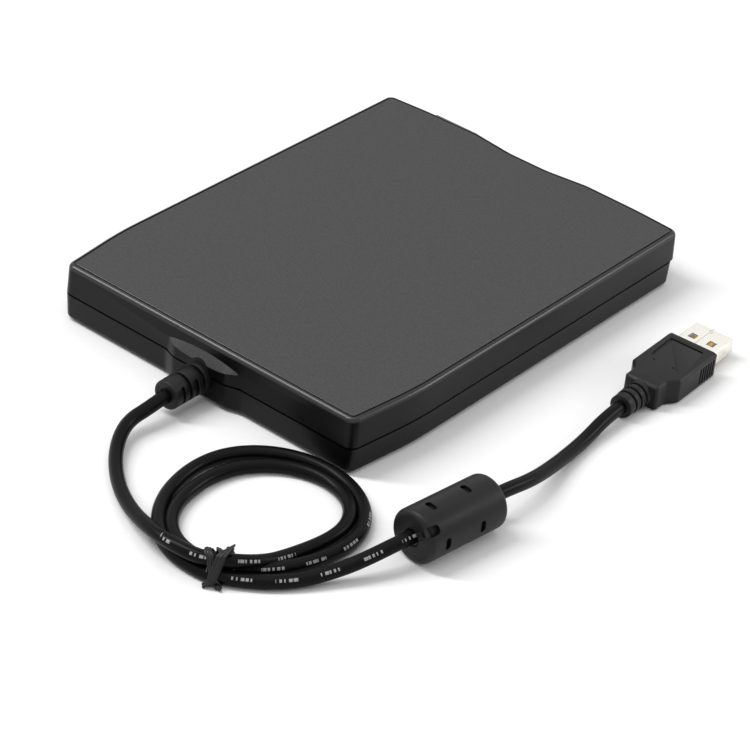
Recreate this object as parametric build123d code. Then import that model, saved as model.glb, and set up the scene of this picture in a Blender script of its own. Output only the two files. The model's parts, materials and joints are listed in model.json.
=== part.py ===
from build123d import *
import math
import os

# External 3.5 inch floppy disk drive with a captive USB lead. Millimetres, +Z up, the feet stand on z = 0.
# -Y is the front with the disk slot, +Y the rear where the lead comes out. The origin is the middle of the
# case's footprint.

# ---------------------------------------------------------------- the disk that the drive is built round
DISK_WIDTH = 90.0
DISK_LENGTH = 94.0
DISK_THICK = 3.3
HUB_AHEAD = 0.5              # the disk's hub lies this far ahead of its middle
TRACK_IN = 7.0               # outermost track, in from the disk's leading edge

# ---------------------------------------------------------------- case
SIDE_ROOM = 2.9              # between the drive's sides and the case walls
REAR_ROOM = 9.75             # behind the drive, for the interface board
ROOF_ROOM = 0.4              # between the drive's cover and the roof
SIDE_DRAW_IN = 2.6           # each side draws in by this much towards the rear
FRONT_REACH = 1.65           # the brow over the button stands this far ahead of the front corners
REAR_BUMP = 1.35             # the swelling that the lead comes out of
FOOT_STAND = 0.6             # the feet lift the case by this much
LOWER_HEIGHT = 7.6           # the parting line above the underside
WALL = 1.6
FLOOR_WALL = 1.5
ROOF_WALL = 1.5
CORNER_R = 3.0
TOP_EDGE_R = 1.9
BOTTOM_BEVEL = 1.0
TAPER_START = 22.7           # the sides begin to draw in this far ahead of the rear wall
TAPER_R = 120.0
SEAM_CHAMFER = 0.25
LIP_DEPTH = 1.2              # the upper shell's lip reaches this far into the lower shell
LIP_WALL = 0.7
LIP_CLEARANCE = 0.1
LOWER_SETBACK = 1.0          # the lower shell's front stands back behind the upper shell's

CROWN_INSET, CROWN_OUT = 14.5, 1.05  # the front bows out: this far in from the sides and at the scoop's edge
SCOOP_X, SCOOP_OUT = 19.5, 1.4
SCOOP_FLAT_X, SCOOP_IN = 6.5, -0.35  # finger scoop in the middle of the front
CROWN_R, SCOOP_EDGE_R, SCOOP_FLAT_R = 150.0, 12.0, 30.0
BUMP_FLAT_X, BUMP_END_X, BUMP_R = 7.8, 13.6, 12.0
BUMP_TOP_AT_WALL = 12.0      # above the underside; the top of the bump slopes down from the wall
BUMP_TOP_DROP = 1.1

# ---------------------------------------------------------------- levels and planes of the mechanism
GAP = 0.3                    # between pieces that move past each other
BAY_SIDE_PLAY = 0.6
BAY_PLAY = 0.8               # bay height over the disk's thickness
CRADLE_DROP = 2.3
SLIDE_TRAVEL = 5.0
SLIDE_PLAY = 0.4             # between the cradle's sides and the slide plate's
HEAD_TRAVEL = 14.8           # 79 steps of 0.1875 mm
ARM_DROP_DEG = 7.8
LEVER_SWING_DEG = 59.0

SHEET = 0.5                  # cradle and slide plate sides
CHASSIS_BASE = 0.8
CHASSIS_SIDE = 0.7
COVER_SHEET = 0.4
CHASSIS_LIFT = 0.3           # pads on the case floor
DRIVE_HEIGHT = 12.7
DRIVE_FRONT = 3.85           # the chassis starts this far behind the front corners
MOTOR_BAY = 29.2             # the drive is this much longer than the disk, for the head motor
BEZEL_THICK = 2.4
BEZEL_LOW, BEZEL_HIGH = 0.5, 0.2     # the bezel ends this far inside the drive's underside and top
SLOT_MARGIN = 0.2
PIN_R = 1.0                  # cradle guide pins

# ---------------------------------------------------------------- lead
CABLE_R = 1.85
GLAND_LENGTH = 12.3
GLAND_DROOP_DEG = 8.0
COLLAR_COUNT = 5             # rings of the strain relief at the case
COLLAR_BASE_R, COLLAR_END_R, COLLAR_CUT, COLLAR_GROOVE = 4.6, 3.55, 0.9, 0.75
GLAND_HEIGHT = 7.9           # centre of the strain relief at the wall, above the table
FERRITE_R = 7.6
FERRITE_LENGTH = 27.0
FERRITE_CENTRE = (-83.65, 70.7)
FERRITE_TURN_DEG = 82.6      # its axis, from +X
PLUG_TAIL = (-81.1, -11.9)   # middle of the back face of the plug's grip
PLUG_TURN_DEG = -87.6        # the way the plug points, from +X
PLUG_THICK = 7.4
GRIP_LENGTH = 26.2
GRIP_WIDTH = 15.2
GRIP_TAIL_WIDTH = 10.4
RELIEF_LENGTH = 9.2
PLUG_RING_COUNT = 4
PANEL_X0, PANEL_X1, PANEL_Y, PANEL_GROOVE = 14.0, 23.0, 5.6, 0.35    # angled groove on top of the grip
USB_WIDTH, USB_HEIGHT, USB_LENGTH, USB_WALL = 12.0, 4.5, 10.8, 0.32
# each turn of the coil: centre x and y, half width, reach away from the case, reach towards it, lean
INNER_TURN = (-46.1, 93.9, 18.5, 26.0, 18.4, 0.105)
OUTER_TURN = (-45.6, 93.7, 23.9, 30.7, 21.8, 0.03)
COIL_START_DEG = 114.5       # where the tie holds the turns
COIL_END_SPREAD = 2.2        # the outer turn's end lies this far outside its ellipse
TIE_AT = (-54.6, 122.3)
TIE_TURN_DEG = 212.0         # the way the strands run under the tie
TIE_SPAN, TIE_ROOM, TIE_THICK, TIE_WIDTH = 9.6, 7.7, 0.95, 3.8

# ---------------------------------------------------------------- worked out
BAY_HEIGHT = DISK_THICK + BAY_PLAY
BAY_HALF_W = DISK_WIDTH / 2 + BAY_SIDE_PLAY
CRADLE_HALF_W = BAY_HALF_W + SHEET
SLIDE_IN_W = CRADLE_HALF_W + SLIDE_PLAY
SLIDE_HALF_W = SLIDE_IN_W + SHEET
CHASSIS_IN_W = SLIDE_HALF_W + GAP
DRIVE_HALF_WIDTH = CHASSIS_IN_W + CHASSIS_SIDE
DRIVE_LENGTH = DISK_LENGTH + MOTOR_BAY
CASE_WIDTH = 2 * (DRIVE_HALF_WIDTH + SIDE_ROOM + WALL)
CASE_DEPTH = DRIVE_FRONT + DRIVE_LENGTH + REAR_ROOM + WALL        # front corners to the rear wall
CASE_HEIGHT = FLOOR_WALL + CHASSIS_LIFT + DRIVE_HEIGHT + ROOF_ROOM + ROOF_WALL
REACH = CASE_DEPTH + FRONT_REACH + REAR_BUMP
BUMP_Y = REACH / 2
WALL_Y = BUMP_Y - REAR_BUMP
CORNER_Y = WALL_Y - CASE_DEPTH
HALF_W = CASE_WIDTH / 2
REAR_HALF_W = HALF_W - SIDE_DRAW_IN
TAPER_Y = WALL_Y - TAPER_START
UNDER_Z = FOOT_STAND
SEAM_Z = UNDER_Z + LOWER_HEIGHT
TOP_Z = UNDER_Z + CASE_HEIGHT
FLOOR_Z = UNDER_Z + FLOOR_WALL
ROOF_Z = TOP_Z - ROOF_WALL

BASE_Z = FLOOR_Z + CHASSIS_LIFT                  # underside of the chassis
BASE_TOP = BASE_Z + CHASSIS_BASE
COVER_TOP = BASE_Z + DRIVE_HEIGHT
COVER_Z = COVER_TOP - COVER_SHEET                # underside of the top cover
DRIVE_Y0 = CORNER_Y + DRIVE_FRONT
DRIVE_Y1 = DRIVE_Y0 + DRIVE_LENGTH
BEZEL_Y = DRIVE_Y0 - BEZEL_THICK
BEZEL_Z0 = BASE_Z + BEZEL_LOW
BEZEL_Z1 = COVER_TOP - BEZEL_HIGH

COVER_GAP = 0.7                                  # room over the cradle
CRADLE_TOP = COVER_Z - COVER_GAP
BAY_TOP = CRADLE_TOP - SHEET
BAY_Z = BAY_TOP - BAY_HEIGHT
LIP_Z = BAY_Z - SHEET
CRADLE_BEHIND = 3.2                              # the cradle starts this far behind the chassis front
DISK_PROUD = 0.8                                 # a disk that is home stands this far ahead of the chassis
CRADLE_Y0 = DRIVE_Y0 + CRADLE_BEHIND
DISK_END_Y = DRIVE_Y0 - DISK_PROUD + DISK_LENGTH # leading edge of a disk that is home
CRADLE_Y1 = DISK_END_Y + 1.0
SLIDE_T = 0.6
SLIDE_Z = BASE_TOP + GAP
SLIDE_TOP = SLIDE_Z + SLIDE_T
SLIDE_WALL_TOP = CRADLE_TOP - 1.4
PIN_BELOW_MIDDLE = 0.85
PIN_Z = (LIP_Z + CRADLE_TOP) / 2 - PIN_BELOW_MIDDLE
FRONT_PIN_IN, REAR_PIN_IN = 14.0, 11.0           # the guide pins, counted from the cradle's ends
PIN_YS = (CRADLE_Y0 + FRONT_PIN_IN, CRADLE_Y1 - REAR_PIN_IN)

SPINDLE_Y = DISK_END_Y - DISK_LENGTH / 2 + HUB_AHEAD
HEAD_Y = DISK_END_Y - TRACK_IN
BOARD_LIFT, BOARD_T = 0.4, 1.0
BOARD_Z = BASE_TOP + BOARD_LIFT
BOARD_TOP = BOARD_Z + BOARD_T
ROTOR_T = 1.7
ROTOR_Z = BOARD_TOP + GAP
ROTOR_TOP = ROTOR_Z + ROTOR_T
ROTOR_R = 19.0
SHAFT_R = 1.5
RUN = 0.05                                       # radial running clearance


def block(x0, x1, y0, y1, z0, z1):
    """A box between two corners."""
    return Pos((x0 + x1) / 2, (y0 + y1) / 2, (z0 + z1) / 2) * Box(x1 - x0, y1 - y0, z1 - z0)


def both_sides(shape):
    """The shape and its mirror image across the middle plane."""
    return shape + mirror(shape, Plane.YZ)


def post(x, y, r, z0, z1):
    """An upright cylinder."""
    return Pos(x, y, (z0 + z1) / 2) * Cylinder(r, z1 - z0)


def rod_y(x, z, r, y0, y1):
    """A cylinder along Y."""
    return Pos(x, (y0 + y1) / 2, z) * Rot(90, 0, 0) * Cylinder(r, y1 - y0)


def rod_x(y, z, r, x0, x1):
    """A cylinder along X."""
    return Pos((x0 + x1) / 2, y, z) * Rot(0, 90, 0) * Cylinder(r, x1 - x0)


def prism(points, z0, z1, radii=0.0):
    """A filleted outline in plan, raised from z0 to z1."""
    edge = FilletPolyline(*points, radius=radii, close=True)
    return Pos(0, 0, z0) * extrude(make_face(edge), z1 - z0, dir=(0, 0, 1))


def side_prism(points, x0, x1):
    """A (y, z) outline carried along X."""
    face = make_face(Polyline(*[(x0, y, z) for y, z in points], close=True))
    return extrude(face, x1 - x0, dir=(1, 0, 0))


# ---------------------------------------------------------------- case shells
def case_outline(with_bump, setback):
    """Corners and radii of the case in plan, counted from the rear middle round the +X side."""
    rear = [(BUMP_FLAT_X, BUMP_Y, BUMP_R), (BUMP_END_X, WALL_Y, BUMP_R)] if with_bump else []
    right = rear + [
        (REAR_HALF_W, WALL_Y, CORNER_R),
        (HALF_W, TAPER_Y, TAPER_R),
        (HALF_W, CORNER_Y + setback, CORNER_R),
        (HALF_W - CROWN_INSET, CORNER_Y - CROWN_OUT + setback, CROWN_R),
        (SCOOP_X, CORNER_Y - SCOOP_OUT + setback, SCOOP_EDGE_R),
        (SCOOP_FLAT_X, CORNER_Y - SCOOP_IN + setback, SCOOP_FLAT_R),
    ]
    ring = right + [(-x, y, r) for x, y, r in reversed(right)]
    return [(x, y) for x, y, r in ring], [r for x, y, r in ring]


def cavity(grow, z0, z1):
    """The hollow inside the walls, or the same outline grown by part of the wall."""
    half_rear, half, inner_r = REAR_HALF_W - WALL + grow, HALF_W - WALL + grow, CORNER_R - WALL + grow
    y1, y0 = WALL_Y - WALL + grow, CORNER_Y + WALL + LOWER_SETBACK - grow
    points = [(half_rear, y1), (half, TAPER_Y), (half, y0), (-half, y0), (-half, TAPER_Y), (-half_rear, y1)]
    return prism(points, z0, z1, [inner_r, TAPER_R, inner_r, inner_r, TAPER_R, inner_r])


BOSS_R, BOSS_SIDE, BOSS_REAR = 2.6, 1.7, 6.9        # clear of the side wall, and centre to the rear wall
BOSS_X, BOSS_Y = REAR_HALF_W - WALL - BOSS_SIDE - BOSS_R, WALL_Y - BOSS_REAR
CASE_SCREW_R, CASE_PILOT_R, CASE_HEAD_R = 0.9, 0.8, 2.0
DRIVE_SCREW_R, DRIVE_HEAD_R, DRIVE_HEAD_H = 1.0, 1.9, 0.7
DRIVE_SCREW_SIDE, DRIVE_SCREW_FRONT, DRIVE_SCREW_REAR = 8.0, 17.0, 14.0   # in from the drive's edges
DRIVE_SCREWS = [(sx * (DRIVE_HALF_WIDTH - DRIVE_SCREW_SIDE), y) for sx in (-1, 1)
                for y in (DRIVE_Y0 + DRIVE_SCREW_FRONT, DRIVE_Y1 - DRIVE_SCREW_REAR)]
FOOT_R, FOOT_SINK = 5.0, 0.6
FOOT_SIDE, FOOT_FRONT, FOOT_REAR = 9.5, 11.0, 15.5                        # in from the case's edges
FEET = [(sx * (HALF_W - FOOT_SIDE), y) for sx in (-1, 1) for y in (CORNER_Y + FOOT_FRONT, WALL_Y - FOOT_REAR)]
GLAND_HOLE_R = 3.6
BEZEL_SIDE = 0.3                                    # the bezel covers the chassis sides by this much
WINDOW_X = DRIVE_HALF_WIDTH + BEZEL_SIDE + GAP
WINDOW_Z0, WINDOW_Z1 = BEZEL_Z0 - GAP, BEZEL_Z1 + GAP
BROW_X0, BROW_X1 = 20.0, 36.0


def front_window():
    y1 = CORNER_Y + WALL + LOWER_SETBACK + 0.5
    return block(-WINDOW_X, WINDOW_X, CORNER_Y - 5, y1, WINDOW_Z0, WINDOW_Z1)


def gland_hole():
    return rod_y(0, SEAM_Z, GLAND_HOLE_R, WALL_Y - WALL - 1, BUMP_Y + 1)


def upper_shell():
    points, radii = case_outline(False, 0.0)
    body = prism(points, SEAM_Z, TOP_Z, radii)
    body = fillet(body.edges().group_by(Axis.Z)[-1], TOP_EDGE_R)
    body = chamfer(body.edges().group_by(Axis.Z)[0], SEAM_CHAMFER)
    # the bump's top slopes down from the wall, which gives it a spindle-shaped facet
    bump_top = UNDER_Z + BUMP_TOP_AT_WALL
    root, run_in = BUMP_END_X + 4.0, WALL_Y - WALL / 2
    outline = [(root, run_in), (root, WALL_Y), (BUMP_END_X, WALL_Y), (BUMP_FLAT_X, BUMP_Y)]
    outline += [(-x, y) for x, y in reversed(outline)]
    bump = prism(outline, SEAM_Z, bump_top, [0, 0, BUMP_R, BUMP_R, BUMP_R, BUMP_R, 0, 0])
    slope = BUMP_TOP_DROP / REAR_BUMP
    over = 2.0
    bump -= side_prism([(WALL_Y, bump_top), (BUMP_Y + over, bump_top - slope * (REAR_BUMP + over)),
                        (BUMP_Y + over, bump_top + over), (WALL_Y, bump_top + over)], -root - 1, root + 1)
    body += bump
    # brow over the eject button
    brow = block(BROW_X0, BROW_X1, CORNER_Y - FRONT_REACH, CORNER_Y + WALL, WINDOW_Z1 - 0.5, TOP_Z - 0.6)
    body += fillet(brow.edges().group_by(Axis.Y)[0], 0.6)
    body -= cavity(0.0, SEAM_Z - 1, ROOF_Z)
    lip = cavity(LIP_WALL, SEAM_Z - LIP_DEPTH, SEAM_Z + 0.5) - cavity(0.0, SEAM_Z - LIP_DEPTH - 1, SEAM_Z + 1)
    body += lip
    body -= front_window()
    body -= gland_hole()
    for sx in (-1, 1):
        body += post(sx * BOSS_X, BOSS_Y, BOSS_R, SEAM_Z, ROOF_Z + 0.2)
        body -= post(sx * BOSS_X, BOSS_Y, CASE_PILOT_R, SEAM_Z - 1, ROOF_Z - 1.5)
    return body


def lower_shell():
    points, radii = case_outline(True, LOWER_SETBACK)
    body = prism(points, UNDER_Z, SEAM_Z, radii)
    body = chamfer(body.edges().group_by(Axis.Z)[0], BOTTOM_BEVEL)
    body = chamfer(body.edges().group_by(Axis.Z)[-1], SEAM_CHAMFER)
    body -= cavity(0.0, FLOOR_Z, SEAM_Z + 1)
    body -= cavity(LIP_WALL + LIP_CLEARANCE, SEAM_Z - LIP_DEPTH - LIP_CLEARANCE, SEAM_Z + 1)
    body -= front_window()
    body -= gland_hole()
    for sx in (-1, 1):
        body += post(sx * BOSS_X, BOSS_Y, BOSS_R, FLOOR_Z - 0.2, SEAM_Z - 0.1)
        body -= post(sx * BOSS_X, BOSS_Y, CASE_SCREW_R + 0.3, UNDER_Z - 1, SEAM_Z + 1)
        body -= post(sx * BOSS_X, BOSS_Y, CASE_HEAD_R + 0.15, UNDER_Z - 1, FLOOR_Z + 1.4)
    for x, y in DRIVE_SCREWS:
        body += post(x, y, 3.4, FLOOR_Z - 0.2, BASE_Z)
        body -= post(x, y, DRIVE_SCREW_R + 0.1, UNDER_Z - 1, BASE_Z + 1)
        body -= post(x, y, DRIVE_HEAD_R + 0.15, UNDER_Z - 1, UNDER_Z + DRIVE_HEAD_H + 0.1)
    for x, y in FEET:
        body -= post(x, y, FOOT_R + 0.1, UNDER_Z - 1, UNDER_Z + FOOT_SINK)
    return body


def rubber_feet():
    feet = [post(x, y, FOOT_R, 0, FOOT_STAND + FOOT_SINK) for x, y in FEET]
    return [chamfer(foot.edges().group_by(Axis.Z)[0], 0.35) for foot in feet]


def screw(x, y, head_r, shank_r, z0, head_h, z1):
    """A flat-headed screw driven upwards."""
    return post(x, y, head_r, z0, z0 + head_h) + post(x, y, shank_r, z0, z1)


def case_screws():
    head_z = FLOOR_Z + 1.4 - 1.2
    tip_z = SEAM_Z + 4.5
    return [screw(sx * BOSS_X, BOSS_Y, CASE_HEAD_R, CASE_PILOT_R, head_z, 1.2, tip_z) for sx in (-1, 1)]


def drive_screws():
    z0 = UNDER_Z + 0.1
    return [screw(x, y, DRIVE_HEAD_R, DRIVE_SCREW_R, z0, DRIVE_HEAD_H, BASE_TOP) for x, y in DRIVE_SCREWS]


# ---------------------------------------------------------------- drive frame
SCREW_X, SCREW_Z = -18.0, BASE_TOP + 5.0         # lead screw
ROD_X, ROD_Z, ROD_R = 13.0, BASE_TOP + 4.2, 1.5  # guide rod
TAB_Y0 = CRADLE_Y1 + 0.5                         # small brackets at the front ends of screw and rod
TAB_Y1 = TAB_Y0 + 0.8
MOTOR_R = 4.8
MOTOR_Y0 = DRIVE_Y1 - 9.0
MOTOR_Y1 = DRIVE_Y1 - 0.9
LEAD_SCREW_R, TIP_R, MOTOR_SHAFT_R = 1.5, 0.8, 1.0
BRACKET_T = 0.8
SPRING_R, SPRING_WIRE, SPRING_LOOP = 0.8, 0.17, 2.4
SPRING_IN, SPRING_UP = 5.0, 1.2                  # in from the slide plate's sides, and over its strip
SPRING_BEHIND, SPRING_LENGTH = 16.5, 19.5
SPRING_X, SPRING_Z = SLIDE_HALF_W - SPRING_IN, SLIDE_TOP + SPRING_UP
SPRING_Y0 = CRADLE_Y0 + SPRING_BEHIND
SPRING_Y1 = SPRING_Y0 + SPRING_LENGTH
HOOK_HALF_W, HOOK_T, HOOK_OVER = 0.5, 0.8, 0.9   # sheet hooks that the springs' end loops hang on
BEARING_R = 4.0
BASE_WINDOW_X0, BASE_WINDOW_X1 = 12.0, 30.0      # openings in the chassis base, near its front edge
BASE_WINDOW_Y0, BASE_WINDOW_Y1 = 5.0, 12.0
COVER_CUT_X = 9.0                                # half width of the way for the upper head arm
SKIRT_WINDOW, FRONT_WINDOW_IN, REAR_WINDOW_IN = 12.0, 30.0, 40.0   # openings in the cover's side skirts
BEAD_X = 30.0
FFC_T, FFC_UP = 0.2, 1.4                         # flat cable, and its height over the boards
FFC_FROM_BOSS, FFC_FROM_SCREW = 2.4, 8.0         # it fills the room between the boss and the motor
FFC_X0, FFC_X1 = BOSS_R + FFC_FROM_BOSS - BOSS_X, SCREW_X - FFC_FROM_SCREW
FFC_Z = BOARD_TOP + FFC_UP


def drive_chassis():
    body = block(-DRIVE_HALF_WIDTH, DRIVE_HALF_WIDTH, DRIVE_Y0, DRIVE_Y1, BASE_Z, BASE_TOP)
    body += both_sides(block(CHASSIS_IN_W, DRIVE_HALF_WIDTH, DRIVE_Y0, DRIVE_Y1, BASE_Z, COVER_Z))
    rear_top = COVER_Z - 3.0
    body += block(-DRIVE_HALF_WIDTH, DRIVE_HALF_WIDTH, DRIVE_Y1 - CHASSIS_SIDE, DRIVE_Y1, BASE_Z, rear_top)
    body -= block(FFC_X0 - 1.5, FFC_X1 + 1.5, DRIVE_Y1 - 2, DRIVE_Y1 + 1,
                  BOARD_TOP, rear_top + 1)
    # upright slots that keep the cradle's pins from moving along Y
    slot_w, low, high = PIN_R + GAP, PIN_Z - CRADLE_DROP - PIN_R - GAP, PIN_Z + PIN_R + GAP
    for y in PIN_YS:
        body -= block(-DRIVE_HALF_WIDTH - 1, DRIVE_HALF_WIDTH + 1, y - slot_w, y + slot_w, low, high)
    # front brackets of the lead screw and of the guide rod, bent up from the base
    screw_tab = block(SCREW_X - 2.4, SCREW_X + 2.4, TAB_Y0, TAB_Y1, BASE_TOP - 0.2, SCREW_Z + 2.2)
    rod_tab = block(ROD_X - 3, ROD_X + 3, TAB_Y0, TAB_Y1, BASE_TOP - 0.2, ROD_Z + 2.6)
    body += screw_tab - rod_y(SCREW_X, SCREW_Z, TIP_R + RUN, TAB_Y0 - 1, TAB_Y1 + 1)
    body += rod_tab
    body -= rod_y(ROD_X, ROD_Z, ROD_R, TAB_Y0 - 1, DRIVE_Y1 + 1)
    body -= post(0, SPINDLE_Y, BEARING_R, BASE_Z - 1, BASE_TOP + 1)
    # hooks for the front ends of the eject springs
    hook = block(SPRING_X - HOOK_HALF_W, SPRING_X + HOOK_HALF_W, SPRING_Y0 - HOOK_T, SPRING_Y0,
                 BASE_TOP - 0.2, SPRING_Z + HOOK_OVER)
    body += both_sides(hook)
    # raised pads that carry the drive board
    for x, y in BOARD_PADS:
        body += post(x, y, 2.2, BASE_TOP - 0.2, BOARD_Z)
    for x, y in DRIVE_SCREWS:
        body -= post(x, y, DRIVE_SCREW_R, BASE_Z - 1, BASE_TOP + 1)
    # weight-saving windows in the base, clear of everything that stands on it
    x0, x1, y0, y1 = BASE_WINDOW_X0, BASE_WINDOW_X1, DRIVE_Y0 + BASE_WINDOW_Y0, DRIVE_Y0 + BASE_WINDOW_Y1
    window = prism([(x0, y0), (x1, y0), (x1, y1), (x0, y1)], BASE_Z - 1, BASE_TOP + 1, 1.5)
    body -= both_sides(window)
    return body


def drive_top_cover():
    skirt_in = DRIVE_HALF_WIDTH + 0.1
    skirt_out = skirt_in + COVER_SHEET
    y0, y1 = DRIVE_Y0 + 1.2, DRIVE_Y1
    body = block(-skirt_out, skirt_out, y0, y1, COVER_Z, COVER_TOP)
    body = fillet(body.edges().filter_by(Axis.Z), 1.2)
    skirt = block(skirt_in, skirt_out, y0 + 4, y1 - 8, COVER_Z - 2.6, COVER_TOP - 0.1)
    for y in (y0 + FRONT_WINDOW_IN, y1 - REAR_WINDOW_IN):
        skirt -= block(skirt_in - 1, skirt_out + 1, y, y + SKIRT_WINDOW, COVER_Z - 4, COVER_Z - 0.6)
    body += both_sides(skirt)
    arm_y0 = HEAD_Y - HEAD_TRAVEL - 6.0
    arm_y1 = y1 - 1.5
    x1 = COVER_CUT_X
    body -= prism([(x1, arm_y0), (x1, arm_y1), (-x1, arm_y1), (-x1, arm_y0)], COVER_Z - 1, COVER_TOP + 1, 1.5)
    body -= post(0, SPINDLE_Y, 9.0, COVER_Z - 1, COVER_TOP + 1)
    # shallow stiffening beads pressed down into the sheet
    for x in (-BEAD_X, BEAD_X):
        bead = block(x - 1.5, x + 1.5, y0 + 10, SPINDLE_Y - 8, COVER_TOP - 0.15, COVER_TOP + 1)
        body -= fillet(bead.edges().filter_by(Axis.Z), 1.4)
    return body


SLOT_HALF_W = BAY_HALF_W + SLOT_MARGIN
SLOT_Z0, SLOT_Z1 = BAY_Z - SLOT_MARGIN, BAY_TOP + SLOT_MARGIN
FLAP_Y = BEZEL_Y + 1.1
FLAP_R, FLAP_T = 0.45, 0.7
FLAP_Z = SLOT_Z1 - 0.6
FLAP_HALF_W = SLOT_HALF_W - 0.4
FLAP_PIN = 1.2
BUTTON_X0, BUTTON_X1 = BROW_X0 + 0.5, BROW_X1 - 0.5
BUTTON_Z0, BUTTON_Z1 = BEZEL_Z0 + 1.4, SLOT_Z0 - 1.3
BUTTON_PROUD, BUTTON_PLAY = 1.7, 0.25
FLANGE_T = 0.9
BUTTON_WALL = 0.8
BUTTON_BACK = DRIVE_Y0 + SLIDE_TRAVEL + GAP + FLANGE_T   # back of the button, against the slide plate
LED_X, LED_Z, LED_HALF_W, LED_HALF_H = -(BROW_X0 + BROW_X1) / 2, BUTTON_Z1 - 1.2, 2.2, 0.8


def front_bezel():
    half = DRIVE_HALF_WIDTH + BEZEL_SIDE
    body = block(-half, half, BEZEL_Y, DRIVE_Y0, BEZEL_Z0, BEZEL_Z1)
    body = fillet(body.edges().filter_by(Axis.Z).group_by(Axis.Y)[0], 0.8)
    slot = block(-SLOT_HALF_W, SLOT_HALF_W, BEZEL_Y - 1, DRIVE_Y0 + 1, SLOT_Z0, SLOT_Z1)
    body -= slot
    # the slot's lower lip is bevelled to lead the disk in
    top_z = SLOT_Z0 + 0.1
    bevel = [(BEZEL_Y - 1, SLOT_Z0 - 1.0), (BEZEL_Y + 0.9, top_z), (BEZEL_Y - 1, top_z)]
    body -= side_prism(bevel, -SLOT_HALF_W, SLOT_HALF_W)
    # finger notch under the slot
    body -= prism([(-11, BEZEL_Y - 1), (11, BEZEL_Y - 1), (8, BEZEL_Y + 0.7), (-8, BEZEL_Y + 0.7)],
                  BUTTON_Z0, SLOT_Z0 + 0.1, [0, 0, 2.5, 2.5])
    body -= rod_x(FLAP_Y, FLAP_Z, FLAP_R + RUN, -SLOT_HALF_W - FLAP_PIN, SLOT_HALF_W + FLAP_PIN)
    body -= block(BUTTON_X0 - BUTTON_PLAY, BUTTON_X1 + BUTTON_PLAY, BEZEL_Y - 1, DRIVE_Y0 + 1,
                  BUTTON_Z0 - BUTTON_PLAY, BUTTON_Z1 + BUTTON_PLAY)
    body -= block(LED_X - LED_HALF_W, LED_X + LED_HALF_W, BEZEL_Y - 1, DRIVE_Y0 + 1,
                  LED_Z - LED_HALF_H, LED_Z + LED_HALF_H)
    # side clips that snap into the chassis
    clip_out = CHASSIS_IN_W - 0.1
    clip = block(clip_out - 0.7, clip_out, DRIVE_Y0 - 0.1, DRIVE_Y0 + 3.0, BUTTON_Z0 + 1, SLOT_Z0 - 0.5)
    clip += block(clip_out - 0.7, half - 0.6, DRIVE_Y0 - 0.6, DRIVE_Y0, BUTTON_Z0 + 1, SLOT_Z0 - 0.5)
    return body + both_sides(clip)


def dust_flap():
    body = block(-FLAP_HALF_W, FLAP_HALF_W, FLAP_Y - FLAP_T / 2, FLAP_Y + FLAP_T / 2, SLOT_Z0 + 0.3, FLAP_Z)
    body += rod_x(FLAP_Y, FLAP_Z, FLAP_T / 2, -FLAP_HALF_W, FLAP_HALF_W)
    pin_end = SLOT_HALF_W + FLAP_PIN - 0.2
    return body + rod_x(FLAP_Y, FLAP_Z, FLAP_R, -pin_end, pin_end)


def led_window():
    """Clear light pipe: a square nose in the bezel and a tapered stem back to the lamp on the board."""
    nose = block(LED_X - LED_HALF_W + 0.1, LED_X + LED_HALF_W - 0.1, BEZEL_Y - 0.1, DRIVE_Y0 + 0.5,
                 LED_Z - LED_HALF_H + 0.1, LED_Z + LED_HALF_H - 0.1)
    return nose + block(LED_X - 1.1, LED_X + 1.1, DRIVE_Y0 + 0.4, DRIVE_Y0 + 1.6, LED_Z - 1.6, LED_Z + 0.7)


def eject_button():
    cap = block(BUTTON_X0, BUTTON_X1, BEZEL_Y - BUTTON_PROUD, BUTTON_BACK, BUTTON_Z0, BUTTON_Z1)
    cap = fillet(cap.edges().group_by(Axis.Y)[0], 0.5)
    flange = block(BUTTON_X0 - 1.4, BUTTON_X1 + 1.4, BUTTON_BACK - FLANGE_T, BUTTON_BACK, BUTTON_Z0, BUTTON_Z1)
    hollow = block(BUTTON_X0 + BUTTON_WALL, BUTTON_X1 - BUTTON_WALL, BEZEL_Y + 1.5, BUTTON_BACK + 1,
                   BUTTON_Z0 + BUTTON_WALL, BUTTON_Z1 - BUTTON_WALL)
    return cap + flange - hollow


# ---------------------------------------------------------------- loading mechanism
TONGUE_X0, TONGUE_X1 = 25.0, 31.0
STRIP_WIDTH, CROSSBAR_WIDTH = 10.2, 6.4
STRIP_IN_X = SLIDE_HALF_W - STRIP_WIDTH


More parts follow.
